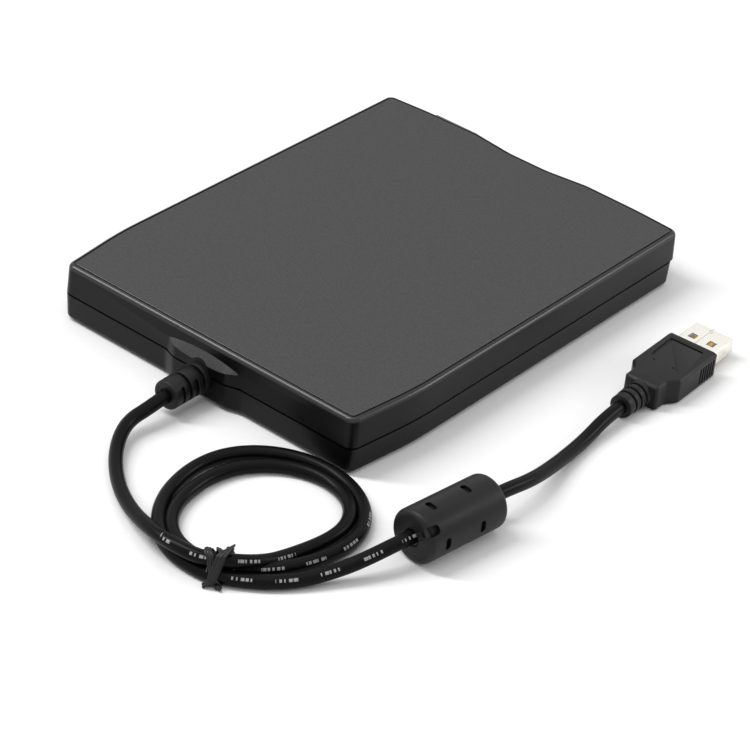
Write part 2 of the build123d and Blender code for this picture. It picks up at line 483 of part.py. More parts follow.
def slide_plate():
    y0 = BUTTON_BACK
    y1 = CRADLE_Y1 + 5.0
    strip = block(STRIP_IN_X, SLIDE_HALF_W, y0 + 3, y1, SLIDE_Z, SLIDE_TOP)
    # a long hole lets the chassis hook stand up through the strip
    strip -= block(SPRING_X - HOOK_HALF_W - GAP, SPRING_X + HOOK_HALF_W + GAP, SPRING_Y0 - HOOK_T - GAP,
                   SPRING_Y0 + SLIDE_TRAVEL + GAP, SLIDE_Z - 1, SLIDE_TOP + 1)
    wall = block(SLIDE_IN_W, SLIDE_HALF_W, y0 + 3, y1, SLIDE_Z, SLIDE_WALL_TOP)
    for y in PIN_YS:
        # inclined slot: the pin sinks by CRADLE_DROP while the plate runs out by SLIDE_TRAVEL
        rise = math.degrees(math.atan2(-CRADLE_DROP, SLIDE_TRAVEL))
        length = math.hypot(CRADLE_DROP, SLIDE_TRAVEL)
        slot_r = PIN_R + GAP
        cut = Box(4, length, 2 * slot_r) + Pos(0, length / 2, 0) * Rot(0, 90, 0) * Cylinder(slot_r, 4)
        cut += Pos(0, -length / 2, 0) * Rot(0, 90, 0) * Cylinder(slot_r, 4)
        mid = Pos((SLIDE_IN_W + SLIDE_HALF_W) / 2, y + SLIDE_TRAVEL / 2, PIN_Z - CRADLE_DROP / 2)
        wall -= mid * Rot(rise, 0, 0) * cut
    hook = block(SPRING_X - HOOK_HALF_W, SPRING_X + HOOK_HALF_W, SPRING_Y1, SPRING_Y1 + HOOK_T,
                 SLIDE_Z, SPRING_Z + HOOK_OVER)
    body = both_sides(strip + wall + hook)
    body += block(-SLIDE_IN_W, SLIDE_IN_W, y0, y0 + CROSSBAR_WIDTH, SLIDE_Z, SLIDE_TOP)
    body += block(BUTTON_X0 - 1, BUTTON_X1 + 1, y0, y0 + 0.6, SLIDE_Z, BUTTON_Z1)
    # tongue that snaps into the hollow of the button
    return body + block(TONGUE_X0, TONGUE_X1, BUTTON_BACK - 3.0, y0 + 0.1, BUTTON_Z0 + BUTTON_WALL,
                        BUTTON_Z0 + BUTTON_WALL + 0.6)


def eject_springs():
    """Tension springs between the chassis hooks and the slide plate: outer shape of the coils, end loops."""
    springs = []
    for sx in (-1, 1):
        loops = block(-SPRING_R, SPRING_R, SPRING_Y0, SPRING_Y1,
                      SPRING_Z - SPRING_WIRE, SPRING_Z + SPRING_WIRE)
        coils = rod_y(0, SPRING_Z, SPRING_R + SPRING_WIRE, SPRING_Y0 + SPRING_LOOP, SPRING_Y1 - SPRING_LOOP)
        springs.append(Pos(sx * SPRING_X, 0, 0) * (loops + coils))
    return springs


LEVER_SIDE, LEVER_BEHIND = 10.1, 3.5                 # pivot in from the cradle's side and rear edge
LEVER_PIVOT = (LEVER_SIDE - CRADLE_HALF_W, CRADLE_Y1 - LEVER_BEHIND)
LEVER_ARM, LEVER_REST_DEG = 22.6, -50.0
LEVER_T, LEVER_Z = 0.4, CRADLE_TOP + 0.1
LEVER_PIN_R, LEVER_HALF_W, RIVET_R = 1.0, 2.0, 1.2
ARM_WINDOW_X = 8.6


def disk_cradle():
    w = CRADLE_HALF_W
    side = block(BAY_HALF_W, w, CRADLE_Y0, CRADLE_Y1, LIP_Z, CRADLE_TOP)
    lip_in = BAY_HALF_W - 7.6
    lip = block(lip_in, w, CRADLE_Y0, CRADLE_Y1, LIP_Z, BAY_Z)
    lip -= Pos(lip_in, CRADLE_Y0, BAY_Z) * Rot(0, 0, 45) * Box(5, 5, 3)
    body = block(-w, w, CRADLE_Y0, CRADLE_Y1, BAY_TOP, CRADLE_TOP) + both_sides(side + lip)
    arm_y0 = HEAD_Y - HEAD_TRAVEL - 6.0
    body -= prism([(ARM_WINDOW_X, arm_y0), (ARM_WINDOW_X, CRADLE_Y1 + 4), (-ARM_WINDOW_X, CRADLE_Y1 + 4),
                   (-ARM_WINDOW_X, arm_y0)], BAY_TOP - 0.1, CRADLE_TOP + 1, 1.0)
    body -= post(0, SPINDLE_Y, 13.0, BAY_TOP - 0.1, CRADLE_TOP + 1)
    # arc-shaped slot that the shutter lever's pin sweeps, open at the rear edge
    px, py = LEVER_PIVOT
    half = LEVER_PIN_R + GAP
    ring = post(px, py, LEVER_ARM + half, BAY_TOP - 0.1, CRADLE_TOP + 1)
    ring -= post(px, py, LEVER_ARM - half, BAY_TOP - 1, CRADLE_TOP + 2)
    a0 = math.radians(LEVER_REST_DEG - 5.0)
    a1 = math.radians(LEVER_REST_DEG + LEVER_SWING_DEG + 9.0)
    far = 2 * LEVER_ARM
    sector = [(px, py), (px + far * math.cos(a0), py + far * math.sin(a0)),
              (px + far * math.cos((a0 + a1) / 2), py + far * math.sin((a0 + a1) / 2)),
              (px + far * math.cos(a1), py + far * math.sin(a1))]
    body -= ring & prism(sector, BAY_TOP - 1, CRADLE_TOP + 2)
    return body


def cradle_pins():
    """Guide pins riveted to the cradle's sides, through the slide plate into the chassis."""
    return [rod_x(y, PIN_Z, PIN_R, *sorted((sx * CRADLE_HALF_W, sx * (DRIVE_HALF_WIDTH - 0.1))))
            for sx in (-1, 1) for y in PIN_YS]


def shutter_lever():
    px, py = LEVER_PIVOT
    z1 = LEVER_Z + LEVER_T
    arm = Pos(LEVER_ARM / 2, 0, 0) * Box(LEVER_ARM, 2 * LEVER_HALF_W, LEVER_T)
    arm += Cylinder(3.0, LEVER_T) + Pos(LEVER_ARM, 0, 0) * Cylinder(LEVER_HALF_W, LEVER_T)
    # short tail with the hook that holds the slide plate back while the bay is empty
    arm += Pos(-3.2, -1.6, 0) * Box(4.4, 2.4, LEVER_T) + Pos(-4.8, -0.2, 0) * Box(1.2, 3.0, LEVER_T)
    pin = Pos(LEVER_ARM, 0, 0) * post(0, 0, LEVER_PIN_R, BAY_Z + 0.8 - z1 + LEVER_T / 2, 0)
    lever = arm + pin - Cylinder(RIVET_R + RUN, 3 * LEVER_T)
    return Pos(px, py, LEVER_Z + LEVER_T / 2) * Rot(0, 0, LEVER_REST_DEG) * lever


def lever_pivot():
    return post(*LEVER_PIVOT, RIVET_R, CRADLE_TOP, COVER_Z - 0.1)


# ---------------------------------------------------------------- spindle
HUB_R, HUB_T = 13.0, 0.7
DRIVE_PIN_AT = 10.0


def spindle_bearing():
    body = post(0, SPINDLE_Y, BEARING_R, BASE_Z, BASE_TOP)
    body += post(0, SPINDLE_Y, 3.0, BASE_TOP - 0.1, ROTOR_Z + 0.6)
    return body - post(0, SPINDLE_Y, SHAFT_R + RUN, BASE_Z + 0.3, ROTOR_TOP)


def spindle_rotor():
    cup = post(0, SPINDLE_Y, ROTOR_R, ROTOR_Z, ROTOR_TOP)
    cup = chamfer(cup.edges().group_by(Axis.Z)[-1], 0.4)
    cup -= post(0, SPINDLE_Y, ROTOR_R - 1.0, ROTOR_Z - 1, ROTOR_TOP - 0.6)
    return cup - post(0, SPINDLE_Y, SHAFT_R, ROTOR_Z, ROTOR_TOP + 1)


def hub_plate():
    """Magnetic chuck that takes hold of the disk's steel hub."""
    body = post(0, SPINDLE_Y, HUB_R, ROTOR_TOP, ROTOR_TOP + HUB_T)
    for k in range(3):
        angle = math.radians(60 + 120 * k)
        x, y = 7.5 * math.cos(angle), SPINDLE_Y + 7.5 * math.sin(angle)
        body -= post(x, y, 1.6, ROTOR_TOP - 1, ROTOR_TOP + 2)
    body -= post(DRIVE_PIN_AT, SPINDLE_Y, 1.0, ROTOR_TOP - 1, ROTOR_TOP + 2)
    return body - post(0, SPINDLE_Y, SHAFT_R, ROTOR_TOP - 1, ROTOR_TOP + 2)


def spindle_shaft():
    top = ROTOR_TOP + HUB_T + 1.0
    body = post(0, SPINDLE_Y, SHAFT_R, BASE_Z + 0.5, top)
    return chamfer(body.edges().group_by(Axis.Z)[-1], 0.4)


def drive_pin():
    body = post(DRIVE_PIN_AT, SPINDLE_Y, 1.0, ROTOR_TOP, ROTOR_TOP + HUB_T + 0.8)
    return chamfer(body.edges().group_by(Axis.Z)[-1], 0.3)


def stator_coils():
    """Nine flat coils on the board, under the rotor's cup."""
    coils = []
    for k in range(9):
        coil = Pos(12.2, 0, 0) * Box(8.4, 4.6, ROTOR_TOP - 0.6 - GAP - BOARD_TOP)
        mid_z = (BOARD_TOP + ROTOR_TOP - 0.6 - GAP) / 2
        coils.append(Pos(0, SPINDLE_Y, mid_z) * Rot(0, 0, 40 * k) * coil)
    return coils


# ---------------------------------------------------------------- heads
BLOCK_Y1 = MOTOR_Y1 - 0.4
BLOCK_Y0 = BLOCK_Y1 - 10.6
BLOCK_TOP = ROD_Z + 3.4
BEAM_Z0, BEAM_Z1 = BOARD_TOP + 0.4, LIP_Z - CRADLE_DROP + 0.2
ARM_PIN_Y, ARM_PIN_Z, ARM_PIN_R = BLOCK_Y1 - 3.2, BLOCK_TOP + 1.5, 0.8
ARM_Z0, ARM_T = COVER_Z, 0.5
EAR_X0, EAR_X1 = 6.4, 8.0
HEAD_HALF = 2.5
HEAD_REST_GAP = 0.06                             # each head stops this far from the middle of the disk
MEDIUM_Z = BAY_Z - CRADLE_DROP + DISK_THICK / 2


def head_carriage():
    block_body = block(-10, ROD_X + 3.6, BLOCK_Y0, BLOCK_Y1, BASE_TOP + 0.5, BLOCK_TOP)
    block_body = fillet(block_body.edges().filter_by(Axis.Y).group_by(Axis.Z)[-1], 0.8)
    # the left rear corner is cut away to pass the stepper motor
    block_body -= block(SCREW_X, SCREW_X + MOTOR_R + 3.5, MOTOR_Y0 - 1.6, BLOCK_Y1 + 1, 0, TOP_Z)
    beam = block(-6.4, 6.4, HEAD_Y - 4.2, BLOCK_Y0 + 0.1, BEAM_Z0, BEAM_Z1)
    beam = fillet(beam.edges().filter_by(Axis.Z).group_by(Axis.Y)[0], 2.0)
    # fork on the left rides on the lead screw
    fork_y0 = BLOCK_Y0 + 0.2
    fork = block(SCREW_X - 2.8, -9.9, fork_y0, fork_y0 + 1.5, SCREW_Z - 3.4, SCREW_Z + 2.8)
    fork -= rod_y(SCREW_X, SCREW_Z, LEAD_SCREW_R + 0.25, fork_y0 - 1, fork_y0 + 3)
    fork -= block(SCREW_X - 4, SCREW_X, fork_y0 - 1, fork_y0 + 3, SCREW_Z - 1.0, SCREW_Z + 1.0)
    ear = block(EAR_X0, EAR_X1, ARM_PIN_Y - 1.6, ARM_PIN_Y + 1.6, BLOCK_TOP - 0.9, ARM_PIN_Z + 1.3)
    ears = both_sides(ear)
    ears -= rod_x(ARM_PIN_Y, ARM_PIN_Z, ARM_PIN_R, -EAR_X1 - 1, EAR_X1 + 1)
    body = block_body + beam + fork + ears
    return body - rod_y(ROD_X, ROD_Z, ROD_R + RUN, BLOCK_Y0 - 1, BLOCK_Y1 + 1)


def lower_head():
    top = MEDIUM_Z - HEAD_REST_GAP
    body = block(-HEAD_HALF, HEAD_HALF, HEAD_Y - HEAD_HALF, HEAD_Y + HEAD_HALF, BEAM_Z1, top)
    return chamfer(body.edges().group_by(Axis.Z)[-1], 0.3)


def upper_head_arm():
    y0, y1 = HEAD_Y - 4.0, ARM_PIN_Y + 1.2
    side = [(4.0, y0), (4.0, y0 + 9), (6.0, y0 + 16), (6.0, y1)]
    plan = side + [(-x, y) for x, y in reversed(side)]
    plate = prism(plan, ARM_Z0, ARM_Z0 + ARM_T, [1.2, 6, 6, 0.4, 0.4, 6, 6, 1.2])
    lug = block(4.8, 6.0, ARM_PIN_Y - 1.2, y1, ARM_PIN_Z, ARM_Z0 + 0.1)
    lug += rod_x(ARM_PIN_Y, ARM_PIN_Z, 1.2, 4.8, 6.0)
    body = plate + both_sides(lug)
    body -= rod_x(ARM_PIN_Y, ARM_PIN_Z, ARM_PIN_R + RUN, -7, 7)
    return body - block(-2.2, 2.2, HEAD_Y + 10, ARM_PIN_Y - 5, ARM_Z0 - 1, ARM_Z0 + 2)


def upper_head():
    """Hangs askew while the arm is up, so that it lies flat on the disk when the arm has come down."""
    low = MEDIUM_Z + HEAD_REST_GAP
    body = block(-HEAD_HALF, HEAD_HALF, HEAD_Y - HEAD_HALF, HEAD_Y + HEAD_HALF, low, COVER_TOP)
    body = chamfer(body.edges().group_by(Axis.Z)[0], 0.3)
    body = body.rotate(Axis((0, ARM_PIN_Y, ARM_PIN_Z), (1, 0, 0)), -ARM_DROP_DEG)
    reach = 2 * HEAD_HALF
    return body - block(-reach, reach, HEAD_Y - 2 * reach, HEAD_Y + 2 * reach, ARM_Z0, 2 * TOP_Z)


def arm_pin():
    return rod_x(ARM_PIN_Y, ARM_PIN_Z, ARM_PIN_R, -EAR_X1, EAR_X1)


def guide_rod():
    body = rod_y(ROD_X, ROD_Z, ROD_R, TAB_Y0, DRIVE_Y1)
    return chamfer(body.edges().filter_by(GeomType.CIRCLE), 0.3)


def lead_screw():
    y0, y1 = TAB_Y1 + 0.4, MOTOR_Y0 - BRACKET_T - 0.5
    body = rod_y(SCREW_X, SCREW_Z, LEAD_SCREW_R, y0, y1)
    body += rod_y(SCREW_X, SCREW_Z, TIP_R, TAB_Y0 - 0.3, y0 + 0.1)
    return body + rod_y(SCREW_X, SCREW_Z, MOTOR_SHAFT_R, y1 - 0.1, MOTOR_Y0 + 4.0)


def stepper_motor():
    body = rod_y(SCREW_X, SCREW_Z, MOTOR_R, MOTOR_Y0, MOTOR_Y1)
    body = chamfer(body.edges().group_by(Axis.Y)[-1], 0.4)
    body += rod_y(SCREW_X, SCREW_Z, 1.8, MOTOR_Y1 - 0.1, MOTOR_Y1 + 0.2)
    body -= rod_y(SCREW_X, SCREW_Z, MOTOR_SHAFT_R + RUN, MOTOR_Y0 - 1, MOTOR_Y0 + 4.3)
    return body


def stepper_bracket():
    body = block(SCREW_X - 5.4, SCREW_X + 5.4, MOTOR_Y0 - BRACKET_T, MOTOR_Y0, BASE_TOP, SCREW_Z + 4.6)
    body = fillet(body.edges().filter_by(Axis.Y).group_by(Axis.Z)[-1], 2.0)
    body += block(SCREW_X - 7.6, SCREW_X - 5.3, MOTOR_Y0 - BRACKET_T, MOTOR_Y0 + 5.0,
                  BASE_TOP, BASE_TOP + BRACKET_T)
    return body - rod_y(SCREW_X, SCREW_Z, MOTOR_SHAFT_R + RUN, MOTOR_Y0 - 3, MOTOR_Y0 + 1)


# ---------------------------------------------------------------- electronics
BOARD_BEHIND, BOARD_PAST_HUB, BOARD_SIDE = 14.5, 32.0, 2.3   # front edge, rear edge, in from the strips
BOARD_Y0, BOARD_Y1 = DRIVE_Y0 + BOARD_BEHIND, SPINDLE_Y + BOARD_PAST_HUB
BOARD_HALF_W = STRIP_IN_X - BOARD_SIDE
PAD_IN = 4.5                                     # pads under the board, in from its sides
PAD_X = BOARD_HALF_W - PAD_IN
BOARD_PADS = [(-PAD_X, BOARD_Y0 + 4), (PAD_X, BOARD_Y0 + 4), (PAD_X, BOARD_Y1 - 3), (-PAD_X, BOARD_Y1 - 3),
              (-PAD_X, DRIVE_Y1 - 14)]
SOCKET_END, LATCH_END = 1.0, 1.4                 # the sockets run past the flat cable's edges
TAIL_X0, TAIL_X1 = FFC_X0 - 2.0, FFC_X1
LINK_FRONT, LINK_REAR, LINK_SIDE = 0.8, 2.4, 0.6 # the interface board's clearances
LINK_Y0, LINK_Y1 = DRIVE_Y1 + LINK_FRONT, WALL_Y - WALL - LINK_REAR
LINK_X0, LINK_X1 = LINK_SIDE + BOSS_R - BOSS_X, 12.0


def drive_board():
    body = block(-BOARD_HALF_W, BOARD_HALF_W, BOARD_Y0, BOARD_Y1, BOARD_Z, BOARD_TOP)
    body += block(-BOARD_HALF_W, TAIL_X1, BOARD_Y1 - 1, DRIVE_Y1 - 1.4, BOARD_Z, BOARD_TOP)
    body += block(TAIL_X0, TAIL_X1, CRADLE_Y1 + 8.0, DRIVE_Y1 - 1.4, BOARD_Z, BOARD_TOP)
    return body - post(0, SPINDLE_Y, 3.0 + GAP, BOARD_Z - 1, BOARD_TOP + 1)


def chip(x, y, z, size, height):
    """A flat pack: a chamfered body and four strips that stand for its rows of leads."""
    body = Pos(x, y, z + 0.1 + (height - 0.1) / 2) * Box(size, size, height - 0.1)
    body = chamfer(body.edges().group_by(Axis.Z)[-1], 0.25)
    leads = Pos(x, y, z + 0.25) * (Box(size + 1.6, size - 1.4, 0.5) + Box(size - 1.4, size + 1.6, 0.5))
    return body + leads


def board_chips():
    front, inset = BOARD_Y1 - 7.0, 8.0
    return [chip(BOARD_HALF_W - inset, front, BOARD_TOP, 9.0, 1.5),
            chip(inset - BOARD_HALF_W, front, BOARD_TOP, 7.0, 1.4)]


def board_connector():
    """The drive's flat cable socket, at the rear of its board."""
    y0 = DRIVE_Y1 - 6.4
    body = block(FFC_X0 - LATCH_END, FFC_X1 + SOCKET_END, y0, y0 + 4.0, BOARD_TOP, BOARD_TOP + 2.0)
    return body - block(FFC_X0, FFC_X1, y0 + 1, y0 + 5, FFC_Z - 0.1, FFC_Z + FFC_T + 0.1)


SWITCH_PITCH = 7.0


def sensor_switches():
    """Disk-present, write-protect and density switches under the front corners of the disk."""
    switches = []
    for x in (-PAD_X, SWITCH_PITCH - PAD_X, PAD_X):
        y = BOARD_Y0 + 8.5
        case = Pos(x, y, BOARD_TOP + 0.8) * Box(4.6, 3.6, 1.6)
        case = chamfer(case.edges().group_by(Axis.Z)[-1], 0.3)
        switches.append(case + post(x, y, 0.6, BOARD_TOP + 1.5, LIP_Z - CRADLE_DROP + 0.2))
    return switches


def interface_board():
    body = block(LINK_X0, LINK_X1, LINK_Y0, LINK_Y1, BOARD_Z, BOARD_TOP)
    return fillet(body.edges().filter_by(Axis.Z), 0.8)


def board_standoffs():
    """Two moulded spacers that carry the interface board on the case floor."""
    mid = (LINK_Y0 + LINK_Y1) / 2
    return [post(x, mid, 1.8, FLOOR_Z, BOARD_Z) for x in (LINK_X0 + 3.0, LINK_X1 - 3.0)]


def interface_chips():
    """USB bridge chip, its crystal in a metal can and the flat cable socket."""
    mid = (LINK_Y0 + LINK_Y1) / 2
    crystal = fillet((Pos(-6.5, mid, BOARD_TOP + 0.9) * Box(3.4, 4.6, 1.8)).edges().filter_by(Axis.Z), 1.2)
    y1 = LINK_Y1 - 0.4
    socket = block(FFC_X0 - SOCKET_END, FFC_X1 + SOCKET_END, y1 - 3.4, y1, BOARD_TOP, BOARD_TOP + 2.0)
    socket -= block(FFC_X0, FFC_X1, y1 - 4, y1 - 1, FFC_Z - 0.1, FFC_Z + FFC_T + 0.1)
    return [chip(-14.0, mid, BOARD_TOP, 4.4, 1.2), crystal, socket]


def flat_cable():
    y0, y1 = DRIVE_Y1 - 5.2, LINK_Y1 - 1.6
    return block(FFC_X0 + 0.1, FFC_X1 - 0.1, y0, y1, FFC_Z, FFC_Z + FFC_T)


# ---------------------------------------------------------------- lead
def on_gland(distance):
    """A point on the strain relief's axis, counted from the bump's face."""
    droop = math.radians(GLAND_DROOP_DEG)
    return (0.0, BUMP_Y + distance * math.cos(droop), GLAND_HEIGHT - distance * math.sin(droop))


def strain_relief():
    """Ringed relief: a neck held between the shells and collars that get smaller towards the cable."""
    pitch = GLAND_LENGTH / COLLAR_COUNT
    profile = [(0, -0.6)]
    for k in range(COLLAR_COUNT):
        r = COLLAR_BASE_R + (COLLAR_END_R - COLLAR_BASE_R) * k / (COLLAR_COUNT - 1)
        start, stop = k * pitch, (k + 1) * pitch
        first = -0.6 if k == 0 else start
        floor = r - COLLAR_CUT
        if k < COLLAR_COUNT - 1:
            profile += [(r, first), (r, stop - COLLAR_GROOVE), (floor, stop - COLLAR_GROOVE), (floor, stop)]
        else:
            profile += [(r, first), (r, stop), (0, stop)]
    face = make_face(Polyline(*[(x, 0, t) for x, t in profile], close=True))
    rings = revolve(face, Axis.Z)
    outside = Pos(*on_gland(0)) * Rot(-90 - GLAND_DROOP_DEG, 0, 0) * rings
    outside -= block(-8, 8, WALL_Y - 8, BUMP_Y + 0.02, 0, TOP_Z)
    neck = rod_y(0, SEAM_Z, GLAND_HOLE_R - 0.1, WALL_Y - WALL - 0.4, BUMP_Y + 0.4)
    flange = rod_y(0, SEAM_Z, 5.2, WALL_Y - WALL - 1.9, WALL_Y - WALL - 0.1)
    stub = rod_y(0, SEAM_Z, CABLE_R, WALL_Y - WALL - 3.6, WALL_Y - WALL - 1.8)
    return outside + neck + flange + stub


def cord_radii(points):
    """The largest arc at each corner: 0.45 of the shorter run over the tangent of half the turn."""
    radii = []
    for a, b, c in zip(points, points[1:], points[2:]):
        run_in, run_out = Vector(b) - Vector(a), Vector(c) - Vector(b)
        half_turn = math.radians(run_in.get_angle(run_out)) / 2
        radii.append(0.45 * min(run_in.length, run_out.length) / math.tan(half_turn))
    return radii


def cord(name, points, r=CABLE_R):
    """Straight runs joined by tangent arcs; prints radii, length and volume over section x length."""
    radii = cord_radii(points)
    path = FilletPolyline(*points, radius=radii)
    tube = sweep(Plane(origin=path @ 0, z_dir=path % 0) * Circle(r), path=path)
    share = tube.volume / (math.pi * r * r * path.length)
    rounded = [round(x, 1) for x in radii]
    print(name, "radii", rounded, "length", round(path.length, 1), "volume share", round(share, 4))
    return tube


FLOOR_LINE = CABLE_R                 # height of a strand that lies on the table
OVER_LINE = 3 * CABLE_R              # height of a strand that lies on another


def ease(share):
    """Smooth step from 0 to 1."""
    share = min(max(share, 0.0), 1.0)
    return share * share * (3 - 2 * share)


def on_turn(turn, angle):
    """A point of one turn: an ellipse, shorter on the side towards the case and leaning to +X."""
    centre_x, centre_y, half_x, away, towards, lean = turn
    y = (away if math.sin(angle) > 0 else towards) * math.sin(angle)
    return centre_x + half_x * math.cos(angle) + lean * y, centre_y + y


def coil_point(turns):
    """Centre of the strand, counted in turns from the tie: the inner turn, then the outer one."""
    angle = math.radians(COIL_START_DEG + 360 * turns)
    x_in, y_in = on_turn(INNER_TURN, angle)
    x_out, y_out = on_turn(OUTER_TURN, angle)
    share = ease((turns - 0.65) / 0.55)
    spread = COIL_END_SPREAD * ease((turns - 1.8) / 0.2)
    return (x_in + share * (x_out - x_in) + spread * math.cos(angle),
            y_in + share * (y_out - y_in) + spread * math.sin(angle))


def coil_heading(turns):
    """Unit vector along the strand."""
    (x0, y0), (x1, y1) = coil_point(turns - 0.001), coil_point(turns + 0.001)
    length = math.hypot(x1 - x0, y1 - y0)
    return (x1 - x0) / length, (y1 - y0) / length


def beside_coil(turns, outwards):
    """A point beside the strand's centre."""
    (x, y), (along_x, along_y) = coil_point(turns), coil_heading(turns)
    return x + outwards * along_y, y - outwards * along_x


def coil_end(onwards=0.0):
    """Centre of the coil's end face, or a point straight out from it."""
    (x, y), (along_x, along_y) = coil_point(2.0), coil_heading(2.0)
    return x + onwards * along_x, y + onwards * along_y, FLOOR_LINE


def on_ferrite(distance, lift=0.0):
    """A point on the ferrite's axis, counted from its middle towards the plug."""
    turn = math.radians(FERRITE_TURN_DEG)
    x, y = FERRITE_CENTRE
    return x - distance * math.cos(turn), y - distance * math.sin(turn), FERRITE_R + lift


def on_plug(along, z=PLUG_THICK / 2):
    """A point on the plug's axis, counted from the back of the grip towards its mouth."""
    turn = math.radians(PLUG_TURN_DEG)
    x, y = PLUG_TAIL
    return x + along * math.cos(turn), y + along * math.sin(turn), z


TIE_TOP = (*TIE_AT, OVER_LINE)
LEAD_POINTS = [
    on_gland(GLAND_LENGTH), on_gland(GLAND_LENGTH + 6.0), (0.8, 95.2, 4.2), (-1.6, 101.4, 3.1),
    (-7.0, 108.4, 2.2), (-15.2, 115.4, 2.0), (-24.6, 120.8, 2.8), (-34.6, 125.0, 5.1), (-42.6, 126.4, 6.0),
    (-50.4, 125.6, 5.8), TIE_TOP,
]
HUMP_POINTS = [TIE_TOP, (-57.8, 119.8, 5.35), (-60.2, 114.0, 3.5), (-61.5, 108.0, 2.1)]
FERRITE_LEAD_IN = 3.5
TAIL_POINTS = [
    coil_end(), coil_end(5.0), (-65.8, 116.4, FLOOR_LINE), (-70.4, 110.7, 2.1), (-74.0, 104.6, 3.1),
    (-77.6, 98.2, 4.9), on_ferrite(-FERRITE_LENGTH / 2 - FERRITE_LEAD_IN), on_ferrite(0, -0.1),
    on_ferrite(FERRITE_LENGTH / 2 + FERRITE_LEAD_IN),
    (-86.6, 43.6, 6.0), (-85.4, 33.6, 4.0), (-83.9, 23.6, 2.6),
    (-82.6, 13.8, 2.05), on_plug(-RELIEF_LENGTH - 7.0), on_plug(-RELIEF_LENGTH),
]


def cord_lead():
    return cord("lead", LEAD_POINTS)


def cord_tail():
    return cord("tail", TAIL_POINTS)


def cord_coil():
    """Outer shape of two loose turns, and the top strand that comes down into them from the tie."""
    height = 2 * CABLE_R
    steps = 26
    rim = [beside_coil(2.0, -CABLE_R)]
    rim += [beside_coil(1.0 + k / steps, CABLE_R) for k in range(2, steps + 1)]
    edge = FilletPolyline(*rim, radius=cord_radii(rim))
    outside = extrude(make_face(edge + Line(rim[-1], rim[0])), height, dir=(0, 0, 1))
    hole = [beside_coil(0.1 + 0.9 * k / steps, -CABLE_R) for k in range(steps + 1)]
    inside = prism(hole, 0, height, cord_radii([hole[-1], *hole, hole[0]]))
    return outside - inside + cord("coil top", HUMP_POINTS)


def twist_tie():
    """Wire tie round the three strands: an arch over them that comes down to the table on both sides."""
    height, half = TIE_ROOM + TIE_THICK, TIE_SPAN / 2
    outer = Pos(0, height / 2, 0) * Rectangle(TIE_SPAN + 2 * TIE_THICK, height)
    outer = fillet(outer.vertices().group_by(Axis.Y)[-1], 3.2)
    inner = Pos(0, TIE_ROOM / 2, 0) * Rectangle(2 * half, TIE_ROOM)
    inner = fillet(inner.vertices().group_by(Axis.Y)[-1], 2.4)
    arch = extrude(outer - inner, TIE_WIDTH / 2, both=True)
    return Pos(*TIE_AT, 0) * Rot(0, 0, TIE_TURN_DEG - 90) * Rot(90, 0, 0) * arch


def ferrite_place():
    return Pos(*on_ferrite(0)) * Rot(0, 0, FERRITE_TURN_DEG) * Rot(0, 90, 0)


FERRITE_WALL = 1.3
FERRITE_ROUND = 1.9                  # rounding of the ends, in three flats
CORE_BORE_R = 2.6
MOULD_SLOT_ROWS = (7.6, -4.1)        # along the ferrite, towards the tie


def ferrite_cover():
    """Moulded round the core: rounded ends, slots left by the mould's pins, a notch with a tab at one end."""
    turns = [math.radians(30 * k) for k in range(4)]
    round_r = FERRITE_ROUND
    corner = [(FERRITE_R - round_r * (1 - math.cos(a)), round_r * (1 - math.sin(a))) for a in turns]
    end = FERRITE_LENGTH / 2
    upper = [(0, end)] + [(r, end - d) for r, d in reversed(corner)]
    side = upper + [(r, -z) for r, z in reversed(upper)]
    body = revolve(make_face(Polyline(*[(r, 0, z) for r, z in side], close=True)), Axis.Z)
    body -= Cylinder(FERRITE_R - FERRITE_WALL, FERRITE_LENGTH - 2 * FERRITE_WALL)
    body -= Cylinder(CABLE_R + 0.15, FERRITE_LENGTH + 2)
    for along in MOULD_SLOT_ROWS:
        for turn in (0, 90, 180, 270):
            body -= Rot(0, 0, turn) * Pos(FERRITE_R, 0, along) * Box(2.0, 3.2, 0.9)
    body -= Rot(0, 0, 130) * Pos(FERRITE_R - 0.2, 0, end - 1.4) * Box(2.0, 2.4, 3.6)
    return ferrite_place() * (body + Rot(0, 0, 130) * Pos(FERRITE_R - 2.6, 0, end) * Box(1.5, 1.6, 0.7))


def ferrite_core():
    body = Cylinder(FERRITE_R - FERRITE_WALL, FERRITE_LENGTH - 2 * FERRITE_WALL)
    body = chamfer(body.edges().filter_by(GeomType.CIRCLE), 0.4)
    return ferrite_place() * (body - Cylinder(CORE_BORE_R, FERRITE_LENGTH))


def plug_place():
    return Pos(*on_plug(0)) * Rot(0, 0, PLUG_TURN_DEG)


